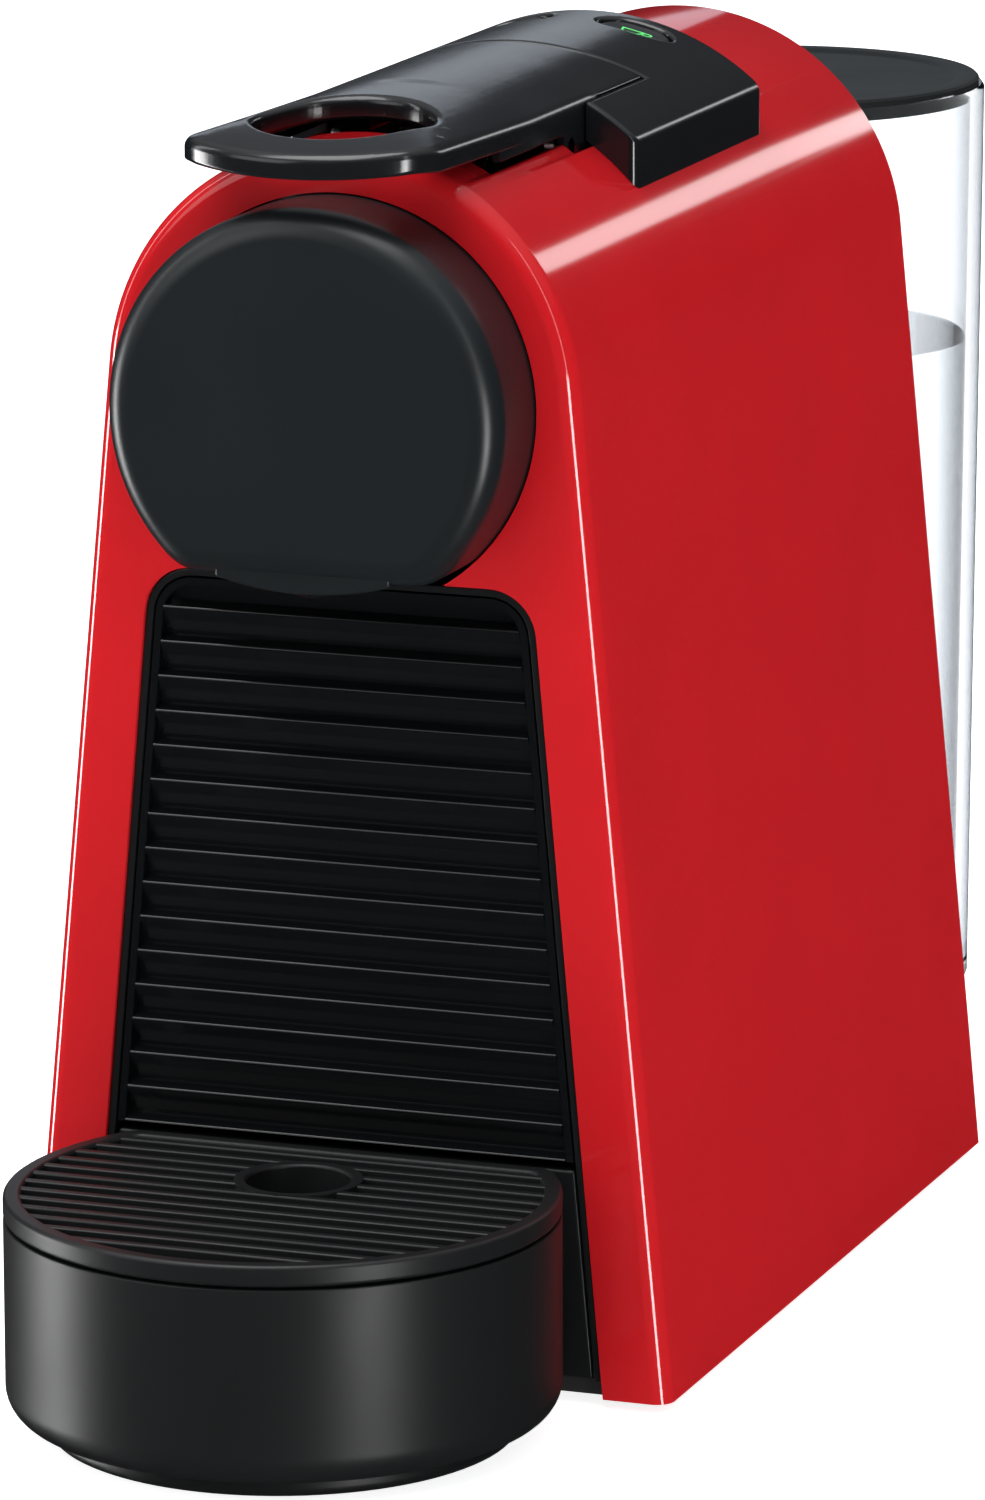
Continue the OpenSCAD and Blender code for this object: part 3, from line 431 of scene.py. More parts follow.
def ribbed_front():
    low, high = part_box("ribbed_front")
    face_y = low.y + 2.2 * MM
    lip_y = face_y - 1.8 * MM
    root_y = face_y + 0.3 * MM
    root_drop = rib_pitch - 1.2 * MM
    bm = bmesh.new()
    first, last = opening_edge(bm, face_y, bin_inset, low.z)
    bm.edges.new((last, first))
    bmesh.ops.contextual_create(bm, geom=bm.edges[:])
    push(bm, bm.faces[:], (0, high.y - face_y, 0))
    bmesh.ops.recalc_face_normals(bm, faces=bm.faces[:])
    round_edges(bm, 0.4 * MM, segments=2, over=60)
    # the slats, drawn as one saw-tooth line and swept across, then trimmed to the opening
    edge = bm.verts.new((-half_floor, root_y, rib_top + 1.2 * MM))
    for row in range(rib_count):
        z = rib_top - row * rib_pitch
        tip = line_on(bm, edge, (-half_floor, lip_y, z + 0.35 * MM))
        tip = arc_on(bm, tip, (-half_floor, lip_y, z - 0.05 * MM), 120, 5, axis=(1, 0, 0))
        edge = line_on(bm, tip, (-half_floor, root_y, z - root_drop))
    drawn_out(bm, [e for e in bm.edges if not e.link_faces], (2 * half_floor, 0, 0))
    for side in (-1, 1):
        end = (side * leaning_half(0, bin_inset + 1.3 * MM), 0, 0)
        split(bm, open_faces(bm), end, Vector((side, 0, open_slope)).normalized(), trim=True)
    split(bm, open_faces(bm), (0, 0, low.z + 0.2 * MM), (0, 0, -1), trim=True)
    # the slim frame that closes the slats' ends
    made = set(bm.edges)
    for inset in (bin_inset, bin_inset + 1.2 * MM):
        opening_edge(bm, face_y - 1.9 * MM, inset, low.z)
    rim = bmesh.ops.bridge_loops(bm, edges=[e for e in bm.edges if e not in made])["faces"]
    frame_depth = 2.3 * MM
    push(bm, rim, (0, frame_depth, 0))
    bmesh.ops.recalc_face_normals(bm, faces=bm.faces[:])
    finished("bin_front", bm, gloss_black, "bin", ["ribbed_front"], sharp=40)


ribbed_front()

# ---------------------------------------------------------------------------------------
# Head: a round cap in satin charcoal plastic with a flat underside, set in the round hole
# of the shell. The shallow coffee outlet hangs under it, with a small round nozzle.
charcoal = moulded("charcoal_satin", (0.008, 0.0105, 0.012), 0.37, texture=0.02, specular=0.4)
head_r = 32.7 * MM
head_flat = 133.4 * MM
head_corner = 9 * MM


def spun(bm, profile, centre, steps=96):
    """Turns a profile of (radius, height) points about an upright axis into a closed form."""
    vert = bm.verts.new((centre[0] + profile[0][0], centre[1], profile[0][1]))
    for radius, height in profile[1:]:
        vert = line_on(bm, vert, (centre[0] + radius, centre[1], height))
    edges = [e for e in bm.edges if not e.link_faces]
    verts = dict.fromkeys(v for e in edges for v in e.verts)
    bmesh.ops.spin(bm, geom=[*verts, *edges], cent=(centre[0], centre[1], 0), axis=(0, 0, 1),
                   angle=2 * math.pi, steps=steps, use_merge=True, use_duplicate=False)
    bmesh.ops.remove_doubles(bm, verts=bm.verts[:], dist=1e-6)
    bmesh.ops.recalc_face_normals(bm, faces=bm.faces[:])


def head_cap():
    low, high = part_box("head_cap")
    bm = bmesh.new()
    cz = head_flat + head_corner
    cx = math.sqrt((head_r - head_corner) ** 2 - (head_z - cz) ** 2)
    turn = math.degrees(math.atan2(head_z - cz, cx))
    first = bm.verts.new((cx, low.y, head_flat))
    vert = arc_on(bm, first, (cx, low.y, cz), -(90 - turn), 12)
    vert = arc_on(bm, vert, (0, low.y, head_z), -(180 + 2 * turn), 112)
    vert = arc_on(bm, vert, (-cx, low.y, cz), -(90 - turn), 12)
    bm.edges.new((vert, first))
    bmesh.ops.contextual_create(bm, geom=bm.edges[:])
    push(bm, bm.faces[:], (0, high.y - low.y, 0))
    bmesh.ops.recalc_face_normals(bm, faces=bm.faces[:])
    front_round = 4.6 * MM
    round_edges(
        bm, front_round, segments=12, over=60,
        where=lambda e: all(v.co.y < low.y + 1e-6 for v in e.verts))
    finished("head", bm, charcoal, "machine", ["head_cap"], sharp=35)


def coffee_spout():
    low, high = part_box("coffee_spout")
    bm = bmesh.new()
    half = high.x
    sag = 0.9 * MM
    foot = low.z - sag
    drop = head_flat - foot
    radius = (half ** 2 + drop ** 2) / (2 * drop)
    turn = math.degrees(math.asin(half / radius))
    first = bm.verts.new((half, low.y, high.z))
    vert = line_on(bm, first, (half, low.y, head_flat))
    vert = arc_on(bm, vert, (0, low.y, foot + radius), 2 * turn, 20)
    last = line_on(bm, vert, (-half, low.y, high.z))
    bm.edges.new((last, first))
    bmesh.ops.contextual_create(bm, geom=bm.edges[:])
    push(bm, bm.faces[:], (0, high.y - low.y, 0))
    bmesh.ops.recalc_face_normals(bm, faces=bm.faces[:])
    round_edges(bm, 0.5 * MM, segments=3, over=50)
    finished("outlet", bm, charcoal, "machine", ["coffee_spout"])
    # the nozzle's round lip
    bm = bmesh.new()
    lip = foot - 1.0 * MM
    outer, bore = 3.4 * MM, 2.1 * MM
    spun(bm, [
        (outer, high.z), (outer, lip + 0.5 * MM), (outer - 0.4 * MM, lip),
        (bore + 0.4 * MM, lip), (bore, lip + 0.4 * MM), (bore, high.z),
        (outer, high.z)], (0, low.y + 6 * MM), steps=40)
    finished("nozzle", bm, gloss_black, "machine")


head_cap()
coffee_spout()

# ---------------------------------------------------------------------------------------
# Lever: a crowned tongue in glossy black plastic, flattened at its round tip, with a finger
# hole. Its rounded tail turns under the top cover's edge, on cheeks that swing on the pivot
# pins and run forward as low ribs.
crown_r = 45 * MM
crown_top = arch_z + crown_r
pivot_y = -30.5 * MM
pivot_z = 189.5 * MM
tail_r = math.hypot(17.5 * MM, crown_top - pivot_z)
lever_half = 21 * MM
lever_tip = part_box("lever_handle")[0].y
bend_y = -60 * MM
tip_drop = 4.2 * MM
bend_r = ((bend_y - lever_tip) ** 2 + tip_drop ** 2) / (2 * tip_drop)
lever_thick = 4 * MM
finger_hole_r = 14.2 * MM
finger_hole_y = lever_tip + 24.5 * MM
lever_black = moulded("lever_black", (0.006, 0.007, 0.008), 0.20, texture=0.008, grain=400)


def crown_height(x, radius=crown_r):
    return arch_z + math.sqrt(radius ** 2 - x ** 2)


def lever_height(x, y):
    """Top of the lever: the crown, eased into the flat droop towards the tip."""
    if y > bend_y:
        return crown_height(x)
    flatter = 1 - 0.32 * (bend_y - y) / (bend_y - lever_tip)
    crown = crown_top - (crown_top - crown_height(x)) * flatter
    droop = crown_top - bend_r + math.sqrt(bend_r ** 2 - (y - bend_y) ** 2)
    ease = 0.8 * MM
    gap = max(ease - abs(crown - droop), 0) / ease
    return min(crown, droop) - gap * gap * ease / 4


def ring_in(bm, radius, steps=5):
    """Insets an outline in rings, noting on each vertex how far in it lies."""
    depth = bm.verts.layers.float.new("depth")
    inner = bm.faces.layers.int.new("inner")
    faces = bm.faces[:]
    done = 0.0
    for i in range(1, steps + 1):
        reach = radius * (1 - math.cos(math.radians(90 * i / steps)))
        bmesh.ops.inset_region(
            bm, faces=faces, thickness=reach - done, use_boundary=True, use_even_offset=True)
        done = reach
        for v in {v for face in faces for v in face.verts}:
            v[depth] = reach
    for face in faces:
        face[inner] = 1
    return depth, inner


def edge_fall(v, depth, radius):
    """How far a rounded edge falls away at a vertex."""
    short = max(0.0, radius - v[depth])
    return radius - math.sqrt(max(0.0, radius ** 2 - short ** 2))


def grid_cut(bm, step, inner):
    """Cuts flat faces into small squares, so that they can be raised to a curved surface."""
    spans = [(min(v.co[i] for v in bm.verts), max(v.co[i] for v in bm.verts)) for i in (0, 1)]
    for axis in (0, 1):
        low, high = spans[axis]
        count = int((high - low) / step)
        normal = Vector((1, 0, 0)) if axis == 0 else Vector((0, 1, 0))
        for i in range(1, count):
            split(bm, bm.faces[:], normal * (low + (high - low) * i / count), normal)
    # the seams left from filling the outline are not needed any more
    extra = [
        e for e in bm.edges
        if len(e.link_faces) == 2 and all(f[inner] for f in e.link_faces)
        and abs(e.verts[0].co.x - e.verts[1].co.x) > 1e-6
        and abs(e.verts[0].co.y - e.verts[1].co.y) > 1e-6
    ]
    bmesh.ops.dissolve_edges(bm, edges=extra, use_verts=False)


def tail_line(radius, height):
    """How far back the tail's round end reaches at a given height."""
    return pivot_y + math.sqrt(radius ** 2 - (height - pivot_z) ** 2)


def lever_plate():
    bm = bmesh.new()
    tip_r, corner = 32 * MM, 9 * MM
    corner_x = lever_half - corner
    corner_y = lever_tip + tip_r - math.sqrt((tip_r - corner) ** 2 - corner_x ** 2)
    sweep = math.degrees(math.asin(corner_x / (tip_r - corner)))
    steps = 24
    xs = [lever_half - 2 * lever_half * i / steps for i in range(steps + 1)]
    vert = first = bm.verts.new((xs[0], tail_line(tail_r, crown_height(xs[0])), 0))
    for x in xs[1:]:
        vert = line_on(bm, vert, (x, tail_line(tail_r, crown_height(x)), 0))
    vert = line_on(bm, vert, (-lever_half, corner_y, 0))
    vert = arc_on(bm, vert, (-corner_x, corner_y, 0), 90 - sweep, 16, axis=(0, 0, 1))
    vert = arc_on(bm, vert, (0, lever_tip + tip_r, 0), 2 * sweep, 36, axis=(0, 0, 1))
    vert = arc_on(bm, vert, (corner_x, corner_y, 0), 90 - sweep, 16, axis=(0, 0, 1))
    bm.edges.new((vert, first))
    bmesh.ops.create_circle(
        bm, segments=72, radius=finger_hole_r, cap_ends=False,
        matrix=Matrix.Translation((0, finger_hole_y, 0)))
    bmesh.ops.triangle_fill(bm, edges=bm.edges[:], use_beauty=True)
    radius = 1.4 * MM
    depth, inner = ring_in(bm, radius, 7)
    grid_cut(bm, 1.6 * MM, inner)
    for v in bm.verts:
        v.co.z = lever_height(v.co.x, v.co.y)
    under = push(bm, bm.faces[:], (0, 0, 0))
    # the tail's edge stays crisp, and the underside is rounded more than the top
    tail_share, under_share, near = 0.25, 1.7, 0.05 * MM
    for v in bm.verts:
        share = tail_share if v.co.y > pivot_y else 1.0
        v.co.z -= edge_fall(v, depth, radius) * share
    for v in under:
        on_tail = v.co.y > pivot_y and v.co.y > tail_line(tail_r, crown_height(v.co.x)) - near
        v.co.z -= lever_thick - under_share * edge_fall(v, depth, radius)
        if on_tail:
            v.co.y = tail_line(tail_r, v.co.z)
    bmesh.ops.recalc_face_normals(bm, faces=bm.faces[:])
    finished("lever", bm, lever_black, "lever", ["lever_handle"], sharp=40)


def lever_cheeks():
    rib_front, rib_foot = -76 * MM, arch_z + 35.2 * MM
    cheek_front, cheek_top = pivot_y - 15.5 * MM, 197 * MM
    cheek_thick = 1.6 * MM
    bm = bmesh.new()
    for side in (-1, 1):
        x = side * 19.4 * MM
        first = bm.verts.new((x, rib_front, cheek_top))
        vert = line_on(bm, first, (x, rib_front, rib_foot))
        vert = line_on(bm, vert, (x, cheek_front, rib_foot))
        vert = line_on(bm, vert, (x, cheek_front, pivot_z))
        vert = line_on(bm, vert, (x, pivot_y - 3.0 * MM, pivot_z - 2.0 * MM))
        vert = arc_on(bm, vert, (x, pivot_y, pivot_z), 146, 14, axis=(1, 0, 0))
        last = line_on(bm, vert, (x, pivot_y + 3.6 * MM, cheek_top))
        bm.edges.new((last, first))
        edges = [e for e in bm.edges if not e.link_faces and abs(e.verts[0].co.x - x) < 1e-6]
        face = bmesh.ops.contextual_create(bm, geom=edges)["faces"]
        push(bm, face, (side * cheek_thick, 0, 0))
    bmesh.ops.recalc_face_normals(bm, faces=bm.faces[:])
    round_edges(bm, 0.3 * MM, segments=2, over=60)
    finished("lever_cheeks", bm, lever_black, "lever")


lever_plate()
lever_cheeks()

# ---------------------------------------------------------------------------------------
# Top cover: a crowned saddle in the same black plastic, with a wing on each side of the lever
# and two oval button holes. It sits on the shell's crown and holds the lever's pivot pins.
cover_low, cover_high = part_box("top_cover")
cover_half = cover_high.x
well_half = 21.4 * MM
button_y = cover_high.y - 8.3 * MM
button_x = 10.5 * MM
button_len = 12 * MM
button_w = 8.4 * MM


def oval(bm, centre, length, width):
    """Draws a closed oval with round ends in plan."""
    half = (length - width) / 2
    x, y = centre
    vert = first = bm.verts.new((x + half, y - width / 2, 0))
    vert = arc_on(bm, vert, (x + half, y, 0), 180, 14, axis=(0, 0, 1))
    vert = line_on(bm, vert, (x - half, y + width / 2, 0))
    vert = arc_on(bm, vert, (x - half, y, 0), 180, 14, axis=(0, 0, 1))
    bm.edges.new((vert, first))


def top_cover():
    bm = bmesh.new()
    gap_r = tail_r + 0.35 * MM
    steps = 24
    xs = [-well_half + 2 * well_half * i / steps for i in range(steps + 1)]
    corner = 1.5 * MM
    x, y0, y1 = cover_half - corner, cover_low.y + corner, cover_high.y - corner
    first = bm.verts.new((cover_half, y0, 0))
    vert = line_on(bm, first, (cover_half, y1, 0))
    vert = arc_on(bm, vert, (x, y1, 0), 90, 5, axis=(0, 0, 1))
    vert = line_on(bm, vert, (-x, cover_high.y, 0))
    vert = arc_on(bm, vert, (-x, y1, 0), 90, 5, axis=(0, 0, 1))
    vert = line_on(bm, vert, (-cover_half, y0, 0))
    vert = arc_on(bm, vert, (-x, y0, 0), 90, 5, axis=(0, 0, 1))
    vert = line_on(bm, vert, (-well_half, cover_low.y, 0))
    for across in xs:
        vert = line_on(bm, vert, (across, tail_line(gap_r, crown_height(across)), 0))
    vert = line_on(bm, vert, (well_half, cover_low.y, 0))
    vert = line_on(bm, vert, (x, cover_low.y, 0))
    vert = arc_on(bm, vert, (x, y0, 0), 90, 5, axis=(0, 0, 1))
    bmesh.ops.remove_doubles(bm, verts=[vert, first], dist=1e-6)
    play = 0.6 * MM
    for side in (-1, 1):
        oval(bm, (side * button_x, button_y), button_len + play, button_w + play)
    bmesh.ops.triangle_fill(bm, edges=bm.edges[:], use_beauty=True)
    radius = 0.9 * MM
    depth, inner = ring_in(bm, radius)
    grid_cut(bm, 1.6 * MM, inner)
    under = set(push(bm, bm.faces[:], (0, 0, 0)))
    seat_r = arch_r + 0.05 * MM
    # the edge beside the lever's tail stays crisp
    seam_share, near = 0.35, 0.05 * MM
    for v in bm.verts:
        inside = abs(v.co.x) <= well_half + 1e-6
        seam = inside and abs(v.co.y - tail_line(gap_r, crown_height(v.co.x))) < near
        if v in under:
            v.co.z = crown_height(v.co.x, seat_r)
            if seam:
                v.co.y = tail_line(gap_r, v.co.z)
        else:
            share = seam_share if inside and v.co.y < button_y - button_w else 1.0
            v.co.z = crown_height(v.co.x) - edge_fall(v, depth, radius) * share
    bmesh.ops.recalc_face_normals(bm, faces=bm.faces[:])
    finished("cover", bm, lever_black, "machine", ["top_cover"], sharp=40)


top_cover()

# ---------------------------------------------------------------------------------------
# Buttons: two oval plastic keys sunk a little into the cover, each with a small lit cup sign.
# The right one is for the short cup and the left one for the long cup.
key_black = moulded("key_black", (0.012, 0.013, 0.015), 0.3, texture=0.03)


def lit_sign(name, colour, strength):
    paint = moulded(name, colour, 0.4)
    shader = paint.node_tree.nodes["Principled BSDF"]
    shader.inputs["Emission Color"].default_value = (*colour, 1)
    shader.inputs["Emission Strength"].default_value = strength
    return paint


sign_green = lit_sign("sign_green", (0.10, 0.62, 0.16), 0.5)


def key_height(side, x, y):
    """Top of a key: the crown a little sunk, with a shallow dish."""
    sunk, dish = 0.6 * MM, 0.5 * MM
    off_x = (x - side * button_x) / (button_len / 2)
    off_y = (y - button_y) / (button_w / 2)
    return crown_height(x) - sunk - dish * max(0, 1 - off_x ** 2 - off_y ** 2)


def button_key(name, side, node, body):
    bm = bmesh.new()
    oval(bm, (side * button_x, button_y), button_len, button_w)
    bmesh.ops.contextual_create(bm, geom=bm.edges[:])
    radius = 0.6 * MM
    depth, inner = ring_in(bm, radius, 4)
    grid_cut(bm, 1.2 * MM, inner)
    for v in bm.verts:
        v.co.z = key_height(side, v.co.x, v.co.y) - edge_fall(v, depth, radius)
    key_foot = arch_z + 37.6 * MM
    for v in push(bm, bm.faces[:], (0, 0, 0)):
        v.co.z = key_foot
    bmesh.ops.recalc_face_normals(bm, faces=bm.faces[:])
    finished(name, bm, key_black, body, [node], sharp=40)


def hollowed(bm, faces, rim_width):
    """Takes the middle out of flat faces, and gives the rim that is left."""
    rim = bmesh.ops.inset_region(
        bm, faces=faces, thickness=rim_width, use_boundary=True, use_even_offset=True)["faces"]
    gone = [f for f in faces if f.is_valid and f not in rim]
    bmesh.ops.delete(bm, geom=gone, context="FACES")
    return rim


def faces_of(bm, verts):
    """The faces that lie wholly on the given vertices."""
    return [f for f in bm.faces if all(v in verts for v in f.verts)]


def cup_sign(name, side, height, body):
    """A cup seen from the side, as a raised line: bowl, rim and handle."""
    bm = bmesh.new()
    x, y = side * button_x - 0.6 * MM, button_y
    rim_half, foot_half, corner = 2.0 * MM, 1.6 * MM, height / 4
    stroke, handle_r = 0.32 * MM, 0.95 * MM
    first = bm.verts.new((x - rim_half, y + height / 2, 0))
    vert = line_on(bm, first, (x - foot_half, y - corner, 0))
    vert = arc_on(bm, vert, (x - foot_half + corner, y - corner, 0), 90, 4, axis=(0, 0, 1))
    vert = line_on(bm, vert, (x + foot_half - corner, y - height / 2, 0))
    vert = arc_on(bm, vert, (x + foot_half - corner, y - corner, 0), 90, 4, axis=(0, 0, 1))
    vert = line_on(bm, vert, (x + rim_half, y + height / 2, 0))
    bm.edges.new((vert, first))
    bmesh.ops.contextual_create(bm, geom=bm.edges[:])
    hollowed(bm, bm.faces[:], stroke)
    handle = bmesh.ops.create_circle(
        bm, segments=20, radius=handle_r, cap_ends=True,
        matrix=Matrix.Translation((x + rim_half + 0.55 * MM, y + height * 0.12, 0)))["verts"]
    hollowed(bm, faces_of(bm, handle), stroke)
    # the line is set 0.03 mm into the key and stands 0.07 mm proud of it
    set_in, line_thick = 0.03 * MM, 0.1 * MM
    for v in bm.verts:
        v.co.z = key_height(side, v.co.x, v.co.y) - set_in
    push(bm, bm.faces[:], (0, 0, line_thick))
    bmesh.ops.recalc_face_normals(bm, faces=bm.faces[:])
    finished(name, bm, sign_green, body)


for label, side, cup_height in (("espresso", 1, 2.6 * MM), ("lungo", -1, 3.4 * MM)):
    button_key(f"{label}_key", side, f"{label}_button", f"{label}_key")
    cup_sign(f"{label}_sign", side, cup_height, f"{label}_key")

# ---------------------------------------------------------------------------------------
# Drip tray: a round cup in satin black plastic with a rounded foot, open at the top. Behind
# it the long sump reaches under the capsule bin, and both slide out together.
tray_low, tray_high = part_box("drip_tray")
tray_r = tray_high.x
tray_y = tray_low.y + tray_r
tray_back = shell_low.y
tray_corner = 5 * MM
tray_wall = 2.2 * MM
seam_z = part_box("drip_grid")[0].z
tray_black = moulded("tray_black", (0.007, 0.0075, 0.008), 0.46, texture=0.04, specular=0.35)


def tray_outline(bm, z):
    """Draws the round tray's outline with its straight back and rounded back corners."""
    cy = tray_back - tray_corner
    cx = math.sqrt((tray_r - tray_corner) ** 2 - (cy - tray_y) ** 2)
    rise = math.degrees(math.atan2(cy - tray_y, cx))
    vert = first = bm.verts.new((cx, tray_back, z))
    vert = arc_on(bm, vert, (cx, cy, z), -(90 - rise), 8, axis=(0, 0, 1))
    vert = arc_on(bm, vert, (0, tray_y, z), -(180 + 2 * rise), 120, axis=(0, 0, 1))
    vert = arc_on(bm, vert, (-cx, cy, z), -(90 - rise), 8, axis=(0, 0, 1))
    bm.edges.new((vert, first))


def sink_top(bm, wall, by):
    """Sinks the top of a solid within a wall, and leaves the hollow open."""
    top = [f for f in bm.faces if f.normal.z > 0.9]
    bmesh.ops.inset_region(bm, faces=top, thickness=wall, use_even_offset=True)
    push(bm, top, (0, 0, -by))
    bmesh.ops.delete(bm, geom=[f for f in top if f.is_valid], context="FACES")
    bmesh.ops.recalc_face_normals(bm, faces=bm.faces[:])


def drip_tray():
    bm = bmesh.new()
    step_z = 3.2 * MM
    floor_z = 6.65 * MM
    rim_z = seam_z - 0.35 * MM
    tray_outline(bm, step_z)
    bmesh.ops.contextual_create(bm, geom=bm.edges[:])
    push(bm, bm.faces[:], (0, 0, rim_z - step_z))
    bmesh.ops.recalc_face_normals(bm, faces=bm.faces[:])
    sink_top(bm, tray_wall, rim_z - floor_z)
    round_edges(
        bm, 6.6 * MM, segments=10, over=60,
        where=lambda e: all(abs(v.co.z - step_z) < 1e-6 for v in e.verts))
    round_edges(bm, 0.4 * MM, segments=2, over=60)
    # the foot under the rounded edge
    foot_r = 37.2 * MM
    ring = bmesh.ops.create_circle(
        bm, segments=96, radius=foot_r, cap_ends=True,
        matrix=Matrix.Translation((0, tray_y, 0)))["verts"]
    push(bm, faces_of(bm, ring), (0, 0, step_z + 0.6 * MM))
    bmesh.ops.recalc_face_normals(bm, faces=bm.faces[:])
    round_edges(
        bm, 1.6 * MM, segments=5, over=60,
        where=lambda e: all(v.co.z < 1e-6 for v in e.verts))
    finished("tray", bm, tray_black, "tray", ["drip_tray"])


def tray_sump():
    bm = bmesh.new()
    front = shell_low.y + 1 * MM
    low = tray_low.z + 4.3 * MM
    floor_thick = 2.5 * MM
    verts = bmesh.ops.create_cube(bm, size=1)["verts"]
    for v in verts:
        v.co.z = tray_high.z if v.co.z > 0 else low
        v.co.y = tray_high.y if v.co.y > 0 else front
        v.co.x = math.copysign(leaning_half(v.co.z, bin_inset), v.co.x)
    sink_top(bm, tray_wall, tray_high.z - low - floor_thick)
    round_edges(bm, 0.6 * MM, segments=3, over=60)
    finished("tray_sump", bm, satin_black, "tray")


drip_tray()
tray_sump()

# ---------------------------------------------------------------------------------------
# Drip grid: a lift-off rim in the tray's black plastic, with slats across it. A round hole
# with a collar lets a tall glass's drips through.
grid_low, grid_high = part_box("drip_grid")
slat_top = grid_high.z - 0.15 * MM


def slat(bm, x0, x1, y, width):
    """One slat of the grid: a straight bar, rounded along its top edges."""
    depth = 2.6 * MM
    middle = Matrix.Translation(((x0 + x1) / 2, y, slat_top - depth / 2))
    spread = Matrix.Diagonal((x1 - x0, width, depth, 1))
    verts = bmesh.ops.create_cube(bm, size=1, matrix=middle @ spread)["verts"]
    along = [
        e for e in dict.fromkeys(e for v in verts for e in v.link_edges)
        if abs(e.verts[0].co.x - e.verts[1].co.x) > 1e-5 and e.verts[0].co.z > slat_top - 1e-6
    ]
    bmesh.ops.bevel(
        bm, geom=along, offset=0.4 * MM, offset_type="OFFSET", segments=3,
        profile=0.5, affect="EDGES", material=-1)


def drip_grid():
    bm = bmesh.new()
    rim = 2.9 * MM
    tray_outline(bm, grid_low.z)
    bmesh.ops.contextual_create(bm, geom=bm.edges[:])
    hollowed(bm, bm.faces[:], rim)
    push(bm, bm.faces[:], (0, 0, grid_high.z - grid_low.z))
    bmesh.ops.recalc_face_normals(bm, faces=bm.faces[:])
    round_edges(bm, 0.7 * MM, segments=4, over=60)
    # the slats, each with its ends run into the rim, and parted by the hole
    pitch, width = 4.7 * MM, 1.6 * MM
    run_in = tray_r - rim + 0.8 * MM
    hole_y, hole_r = tray_y + 6.8 * MM, 8.25 * MM
    clear_r = hole_r + 0.9 * MM
    y = tray_back - tray_corner
    while y > tray_y - tray_r + rim + width / 2:
        reach = math.sqrt(run_in ** 2 - (y - tray_y) ** 2)
        if abs(y - hole_y) < clear_r:
            side = math.sqrt(clear_r ** 2 - (y - hole_y) ** 2)
            slat(bm, -reach, -side, y, width)
            slat(bm, side, reach, y, width)
        else:
            slat(bm, -reach, reach, y, width)
        y -= pitch
    # the collar round the hole
    collar_width, collar_depth = 1.9 * MM, 9 * MM
    ring = bmesh.ops.create_circle(
        bm, segments=64, radius=hole_r + collar_width, cap_ends=True,
        matrix=Matrix.Translation((0, hole_y, slat_top + 0.1 * MM)))["verts"]
    collar = hollowed(bm, faces_of(bm, ring), collar_width)
    push(bm, collar, (0, 0, -collar_depth))
    bmesh.ops.recalc_face_normals(bm, faces=bm.faces[:])
    round_edges(
        bm, 0.6 * MM, segments=3, over=60,
        where=lambda e: all(
            abs(math.hypot(v.co.x, v.co.y - hole_y) - hole_r) < 1e-5 and v.co.z > slat_top
            for v in e.verts))
    finished("grid", bm, tray_black, "grid", ["drip_grid"])


drip_grid()

# ---------------------------------------------------------------------------------------
# Water tank: one clear plastic moulding, a slightly tapered round cup with a rounded rim,
# which stands on the dock behind the shell. It is shown part full of water.
tank_low, tank_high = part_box("water_tank")
tank_top_r = tank_high.x
tank_bottom_r = tank_top_r - 1.6 * MM
tank_y = tank_high.y - tank_top_r
tank_wall = 2.4 * MM
tank_floor = tank_low.z + 3 * MM


def clear(name, colour, edge_shade_colour, roughness=0.03, ior=1.3):
    """Clear material with painted shade: its colour greys where the surface is seen edge-on. This
    stands in for the shading at the edges, and partly for the longer path through a thick wall.
    """
    paint = bpy.data.materials.new(name)
    paint.use_nodes = True
    nodes, links = paint.node_tree.nodes, paint.node_tree.links
    shader = nodes["Principled BSDF"]
    # painted shade: the facing value below darkens the colour where the surface is seen edge-on
    facing = nodes.new("ShaderNodeLayerWeight")
    facing.inputs["Blend"].default_value = 0.5
    depth = nodes.new("ShaderNodeValToRGB")
    depth.color_ramp.elements[0].position = 0.40
    depth.color_ramp.elements[0].color = (*colour, 1)
    depth.color_ramp.elements[1].position = 0.95
    depth.color_ramp.elements[1].color = (*edge_shade_colour, 1)
    links.new(facing.outputs["Facing"], depth.inputs[0])
    links.new(depth.outputs[0], shader.inputs["Base Color"])
    shader.inputs["Transmission Weight"].default_value = 1.0
    shader.inputs["IOR"].default_value = ior
    where = nodes.new("ShaderNodeTexCoord")
    haze = nodes.new("ShaderNodeTexNoise")
    haze.inputs["Scale"].default_value = 30.0
    links.new(where.outputs["Object"], haze.inputs["Vector"])
    gloss = nodes.new("ShaderNodeMapRange")
    gloss.inputs["To Min"].default_value = roughness * 0.5
    gloss.inputs["To Max"].default_value = roughness * 1.5
    links.new(haze.outputs["Fac"], gloss.inputs["Value"])
    links.new(gloss.outputs[0], shader.inputs["Roughness"])
    return paint


# both carry painted shade at their edges: grey on the tank, nearly black on the water
clear_plastic = clear("clear_plastic", (0.93, 0.94, 0.95), (0.10, 0.13, 0.17), ior=1.12)
water = clear("water", (0.82, 0.84, 0.86), (0.01, 0.015, 0.02), 0.01, ior=1.06)


def water_tank():
    inner_top, inner_bottom = tank_top_r - tank_wall, tank_bottom_r - tank_wall
    bm = bmesh.new()
    spun(bm, [
        (0, tank_low.z), (tank_bottom_r - 3 * MM, tank_low.z),
        (tank_bottom_r - 0.8 * MM, tank_low.z + 0.8 * MM), (tank_bottom_r, tank_floor),
        (tank_top_r, tank_high.z - 0.8 * MM), (tank_top_r - 0.5 * MM, tank_high.z),
        (inner_top + 0.5 * MM, tank_high.z), (inner_top, tank_high.z - 0.8 * MM),
        (inner_bottom, tank_floor + 2 * MM), (inner_bottom - 1.5 * MM, tank_floor),
        (0, tank_floor)], (0, tank_y))
    finished("tank", bm, clear_plastic, "tank", ["water_tank"], sharp=35)


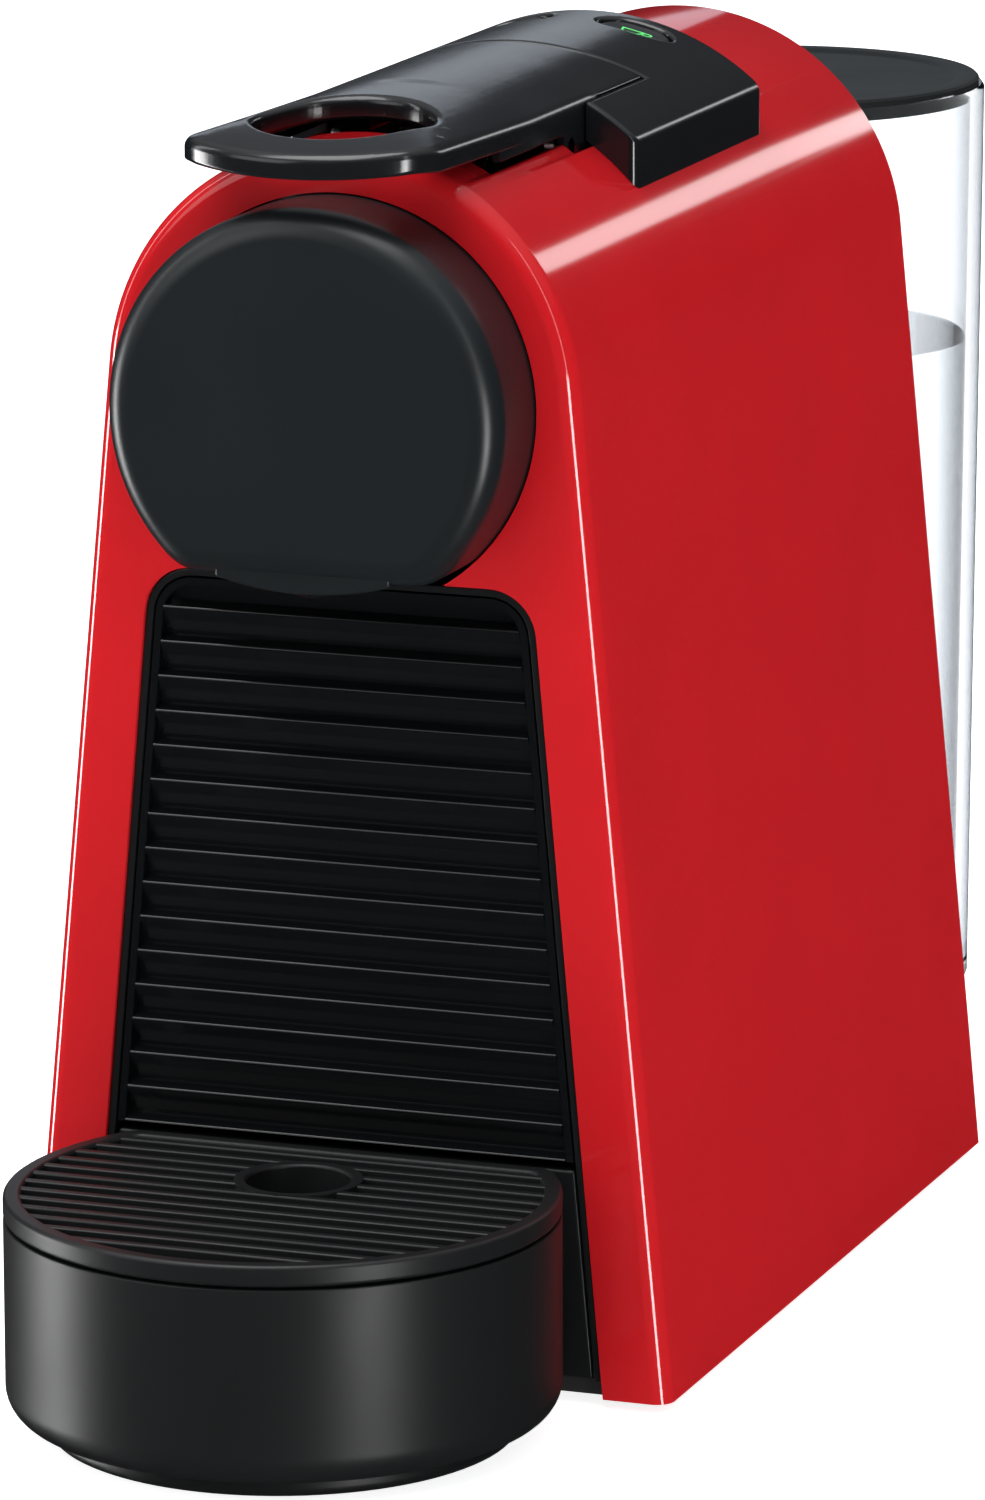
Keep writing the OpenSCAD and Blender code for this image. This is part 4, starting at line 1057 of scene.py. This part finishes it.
def tank_water():
    level = 134 * MM
    share = (level - tank_low.z) / (tank_high.z - tank_low.z)
    skin = tank_wall + 0.05 * MM
    foot_z = tank_floor + 0.1 * MM
    foot_r = tank_bottom_r - skin
    level_r = tank_bottom_r + (tank_top_r - tank_bottom_r) * share - skin
    middle_z = level - 0.3 * MM
    bm = bmesh.new()
    spun(bm, [
        (0, foot_z), (foot_r - 1.5 * MM, foot_z), (foot_r, tank_floor + 2 * MM),
        (level_r, level), (level_r - 0.6 * MM, middle_z), (0, middle_z)], (0, tank_y))
    finished("tank_water", bm, water, "tank", sharp=35)


water_tank()
tank_water()

# ---------------------------------------------------------------------------------------
# Tank lid: a flat disc in matt black plastic, a little sunk in the middle. Its skirt drops
# into the tank's rim, and it lifts off by hand.
lid_low, lid_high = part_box("tank_lid")
lid_black = moulded("lid_black", (0.012, 0.014, 0.015), 0.5, texture=0.05, specular=0.12)


def tank_lid():
    skirt_r = tank_top_r - tank_wall - 0.3 * MM
    skirt_inner = skirt_r - 1.8 * MM
    edge_r = tank_top_r - 1 * MM
    seat_z = tank_high.z + 0.1 * MM
    sunk_z = lid_high.z - 0.5 * MM
    roof_z = lid_low.z + 2.2 * MM
    bm = bmesh.new()
    spun(bm, [
        (0, sunk_z), (skirt_r - 3 * MM, sunk_z), (skirt_r - 2 * MM, lid_high.z),
        (edge_r - 0.4 * MM, lid_high.z), (edge_r, lid_high.z - 0.4 * MM), (edge_r, seat_z),
        (skirt_r, seat_z), (skirt_r, lid_low.z), (skirt_inner, lid_low.z),
        (skirt_inner, roof_z), (0, roof_z)], (0, tank_y))
    finished("lid", bm, lid_black, "lid", ["tank_lid"], sharp=35)


tank_lid()

# ---------------------------------------------------------------------------------------
# The other parts, inside, behind and below, keep the frame's own shapes. Each takes the
# finish that the record names for it: moulded plastics, rubber, metals, boards and hoses.
matt_black = moulded("black_matt", (0.02, 0.02, 0.021), 0.6, texture=0.1)
finishes = {
    "black_satin": satin_black, "black_matte": matt_black,
    "grey_plastic": moulded("grey_plastic", (0.07, 0.07, 0.08), 0.45),
    "rubber": moulded("rubber", (0.02, 0.02, 0.02), 0.75, texture=0.15),
    "white_plastic": moulded("white_plastic", (0.75, 0.74, 0.70), 0.4),
    "steel": moulded("steel", (0.60, 0.60, 0.62), 0.25),
    "cast_aluminium": moulded("cast_aluminium", (0.62, 0.63, 0.65), 0.5, texture=0.3),
    "board_green": moulded("board_green", (0.02, 0.16, 0.05), 0.35),
    "coil_blue": moulded("coil_blue", (0.02, 0.04, 0.25), 0.4),
    "hose_clear": moulded("hose_clear", (0.7, 0.72, 0.74), 0.3),
}
for metal in ("steel", "cast_aluminium"):
    finishes[metal].node_tree.nodes["Principled BSDF"].inputs["Metallic"].default_value = 1.0
slots = {s["node"]: s["material_slot"] for s in frame["record"]["subparts"]}
for name, thing in frame["nodes"].items():
    if not thing.hide_render:
        thing.data.materials.clear()
        thing.data.materials.append(finishes[slots[name]])
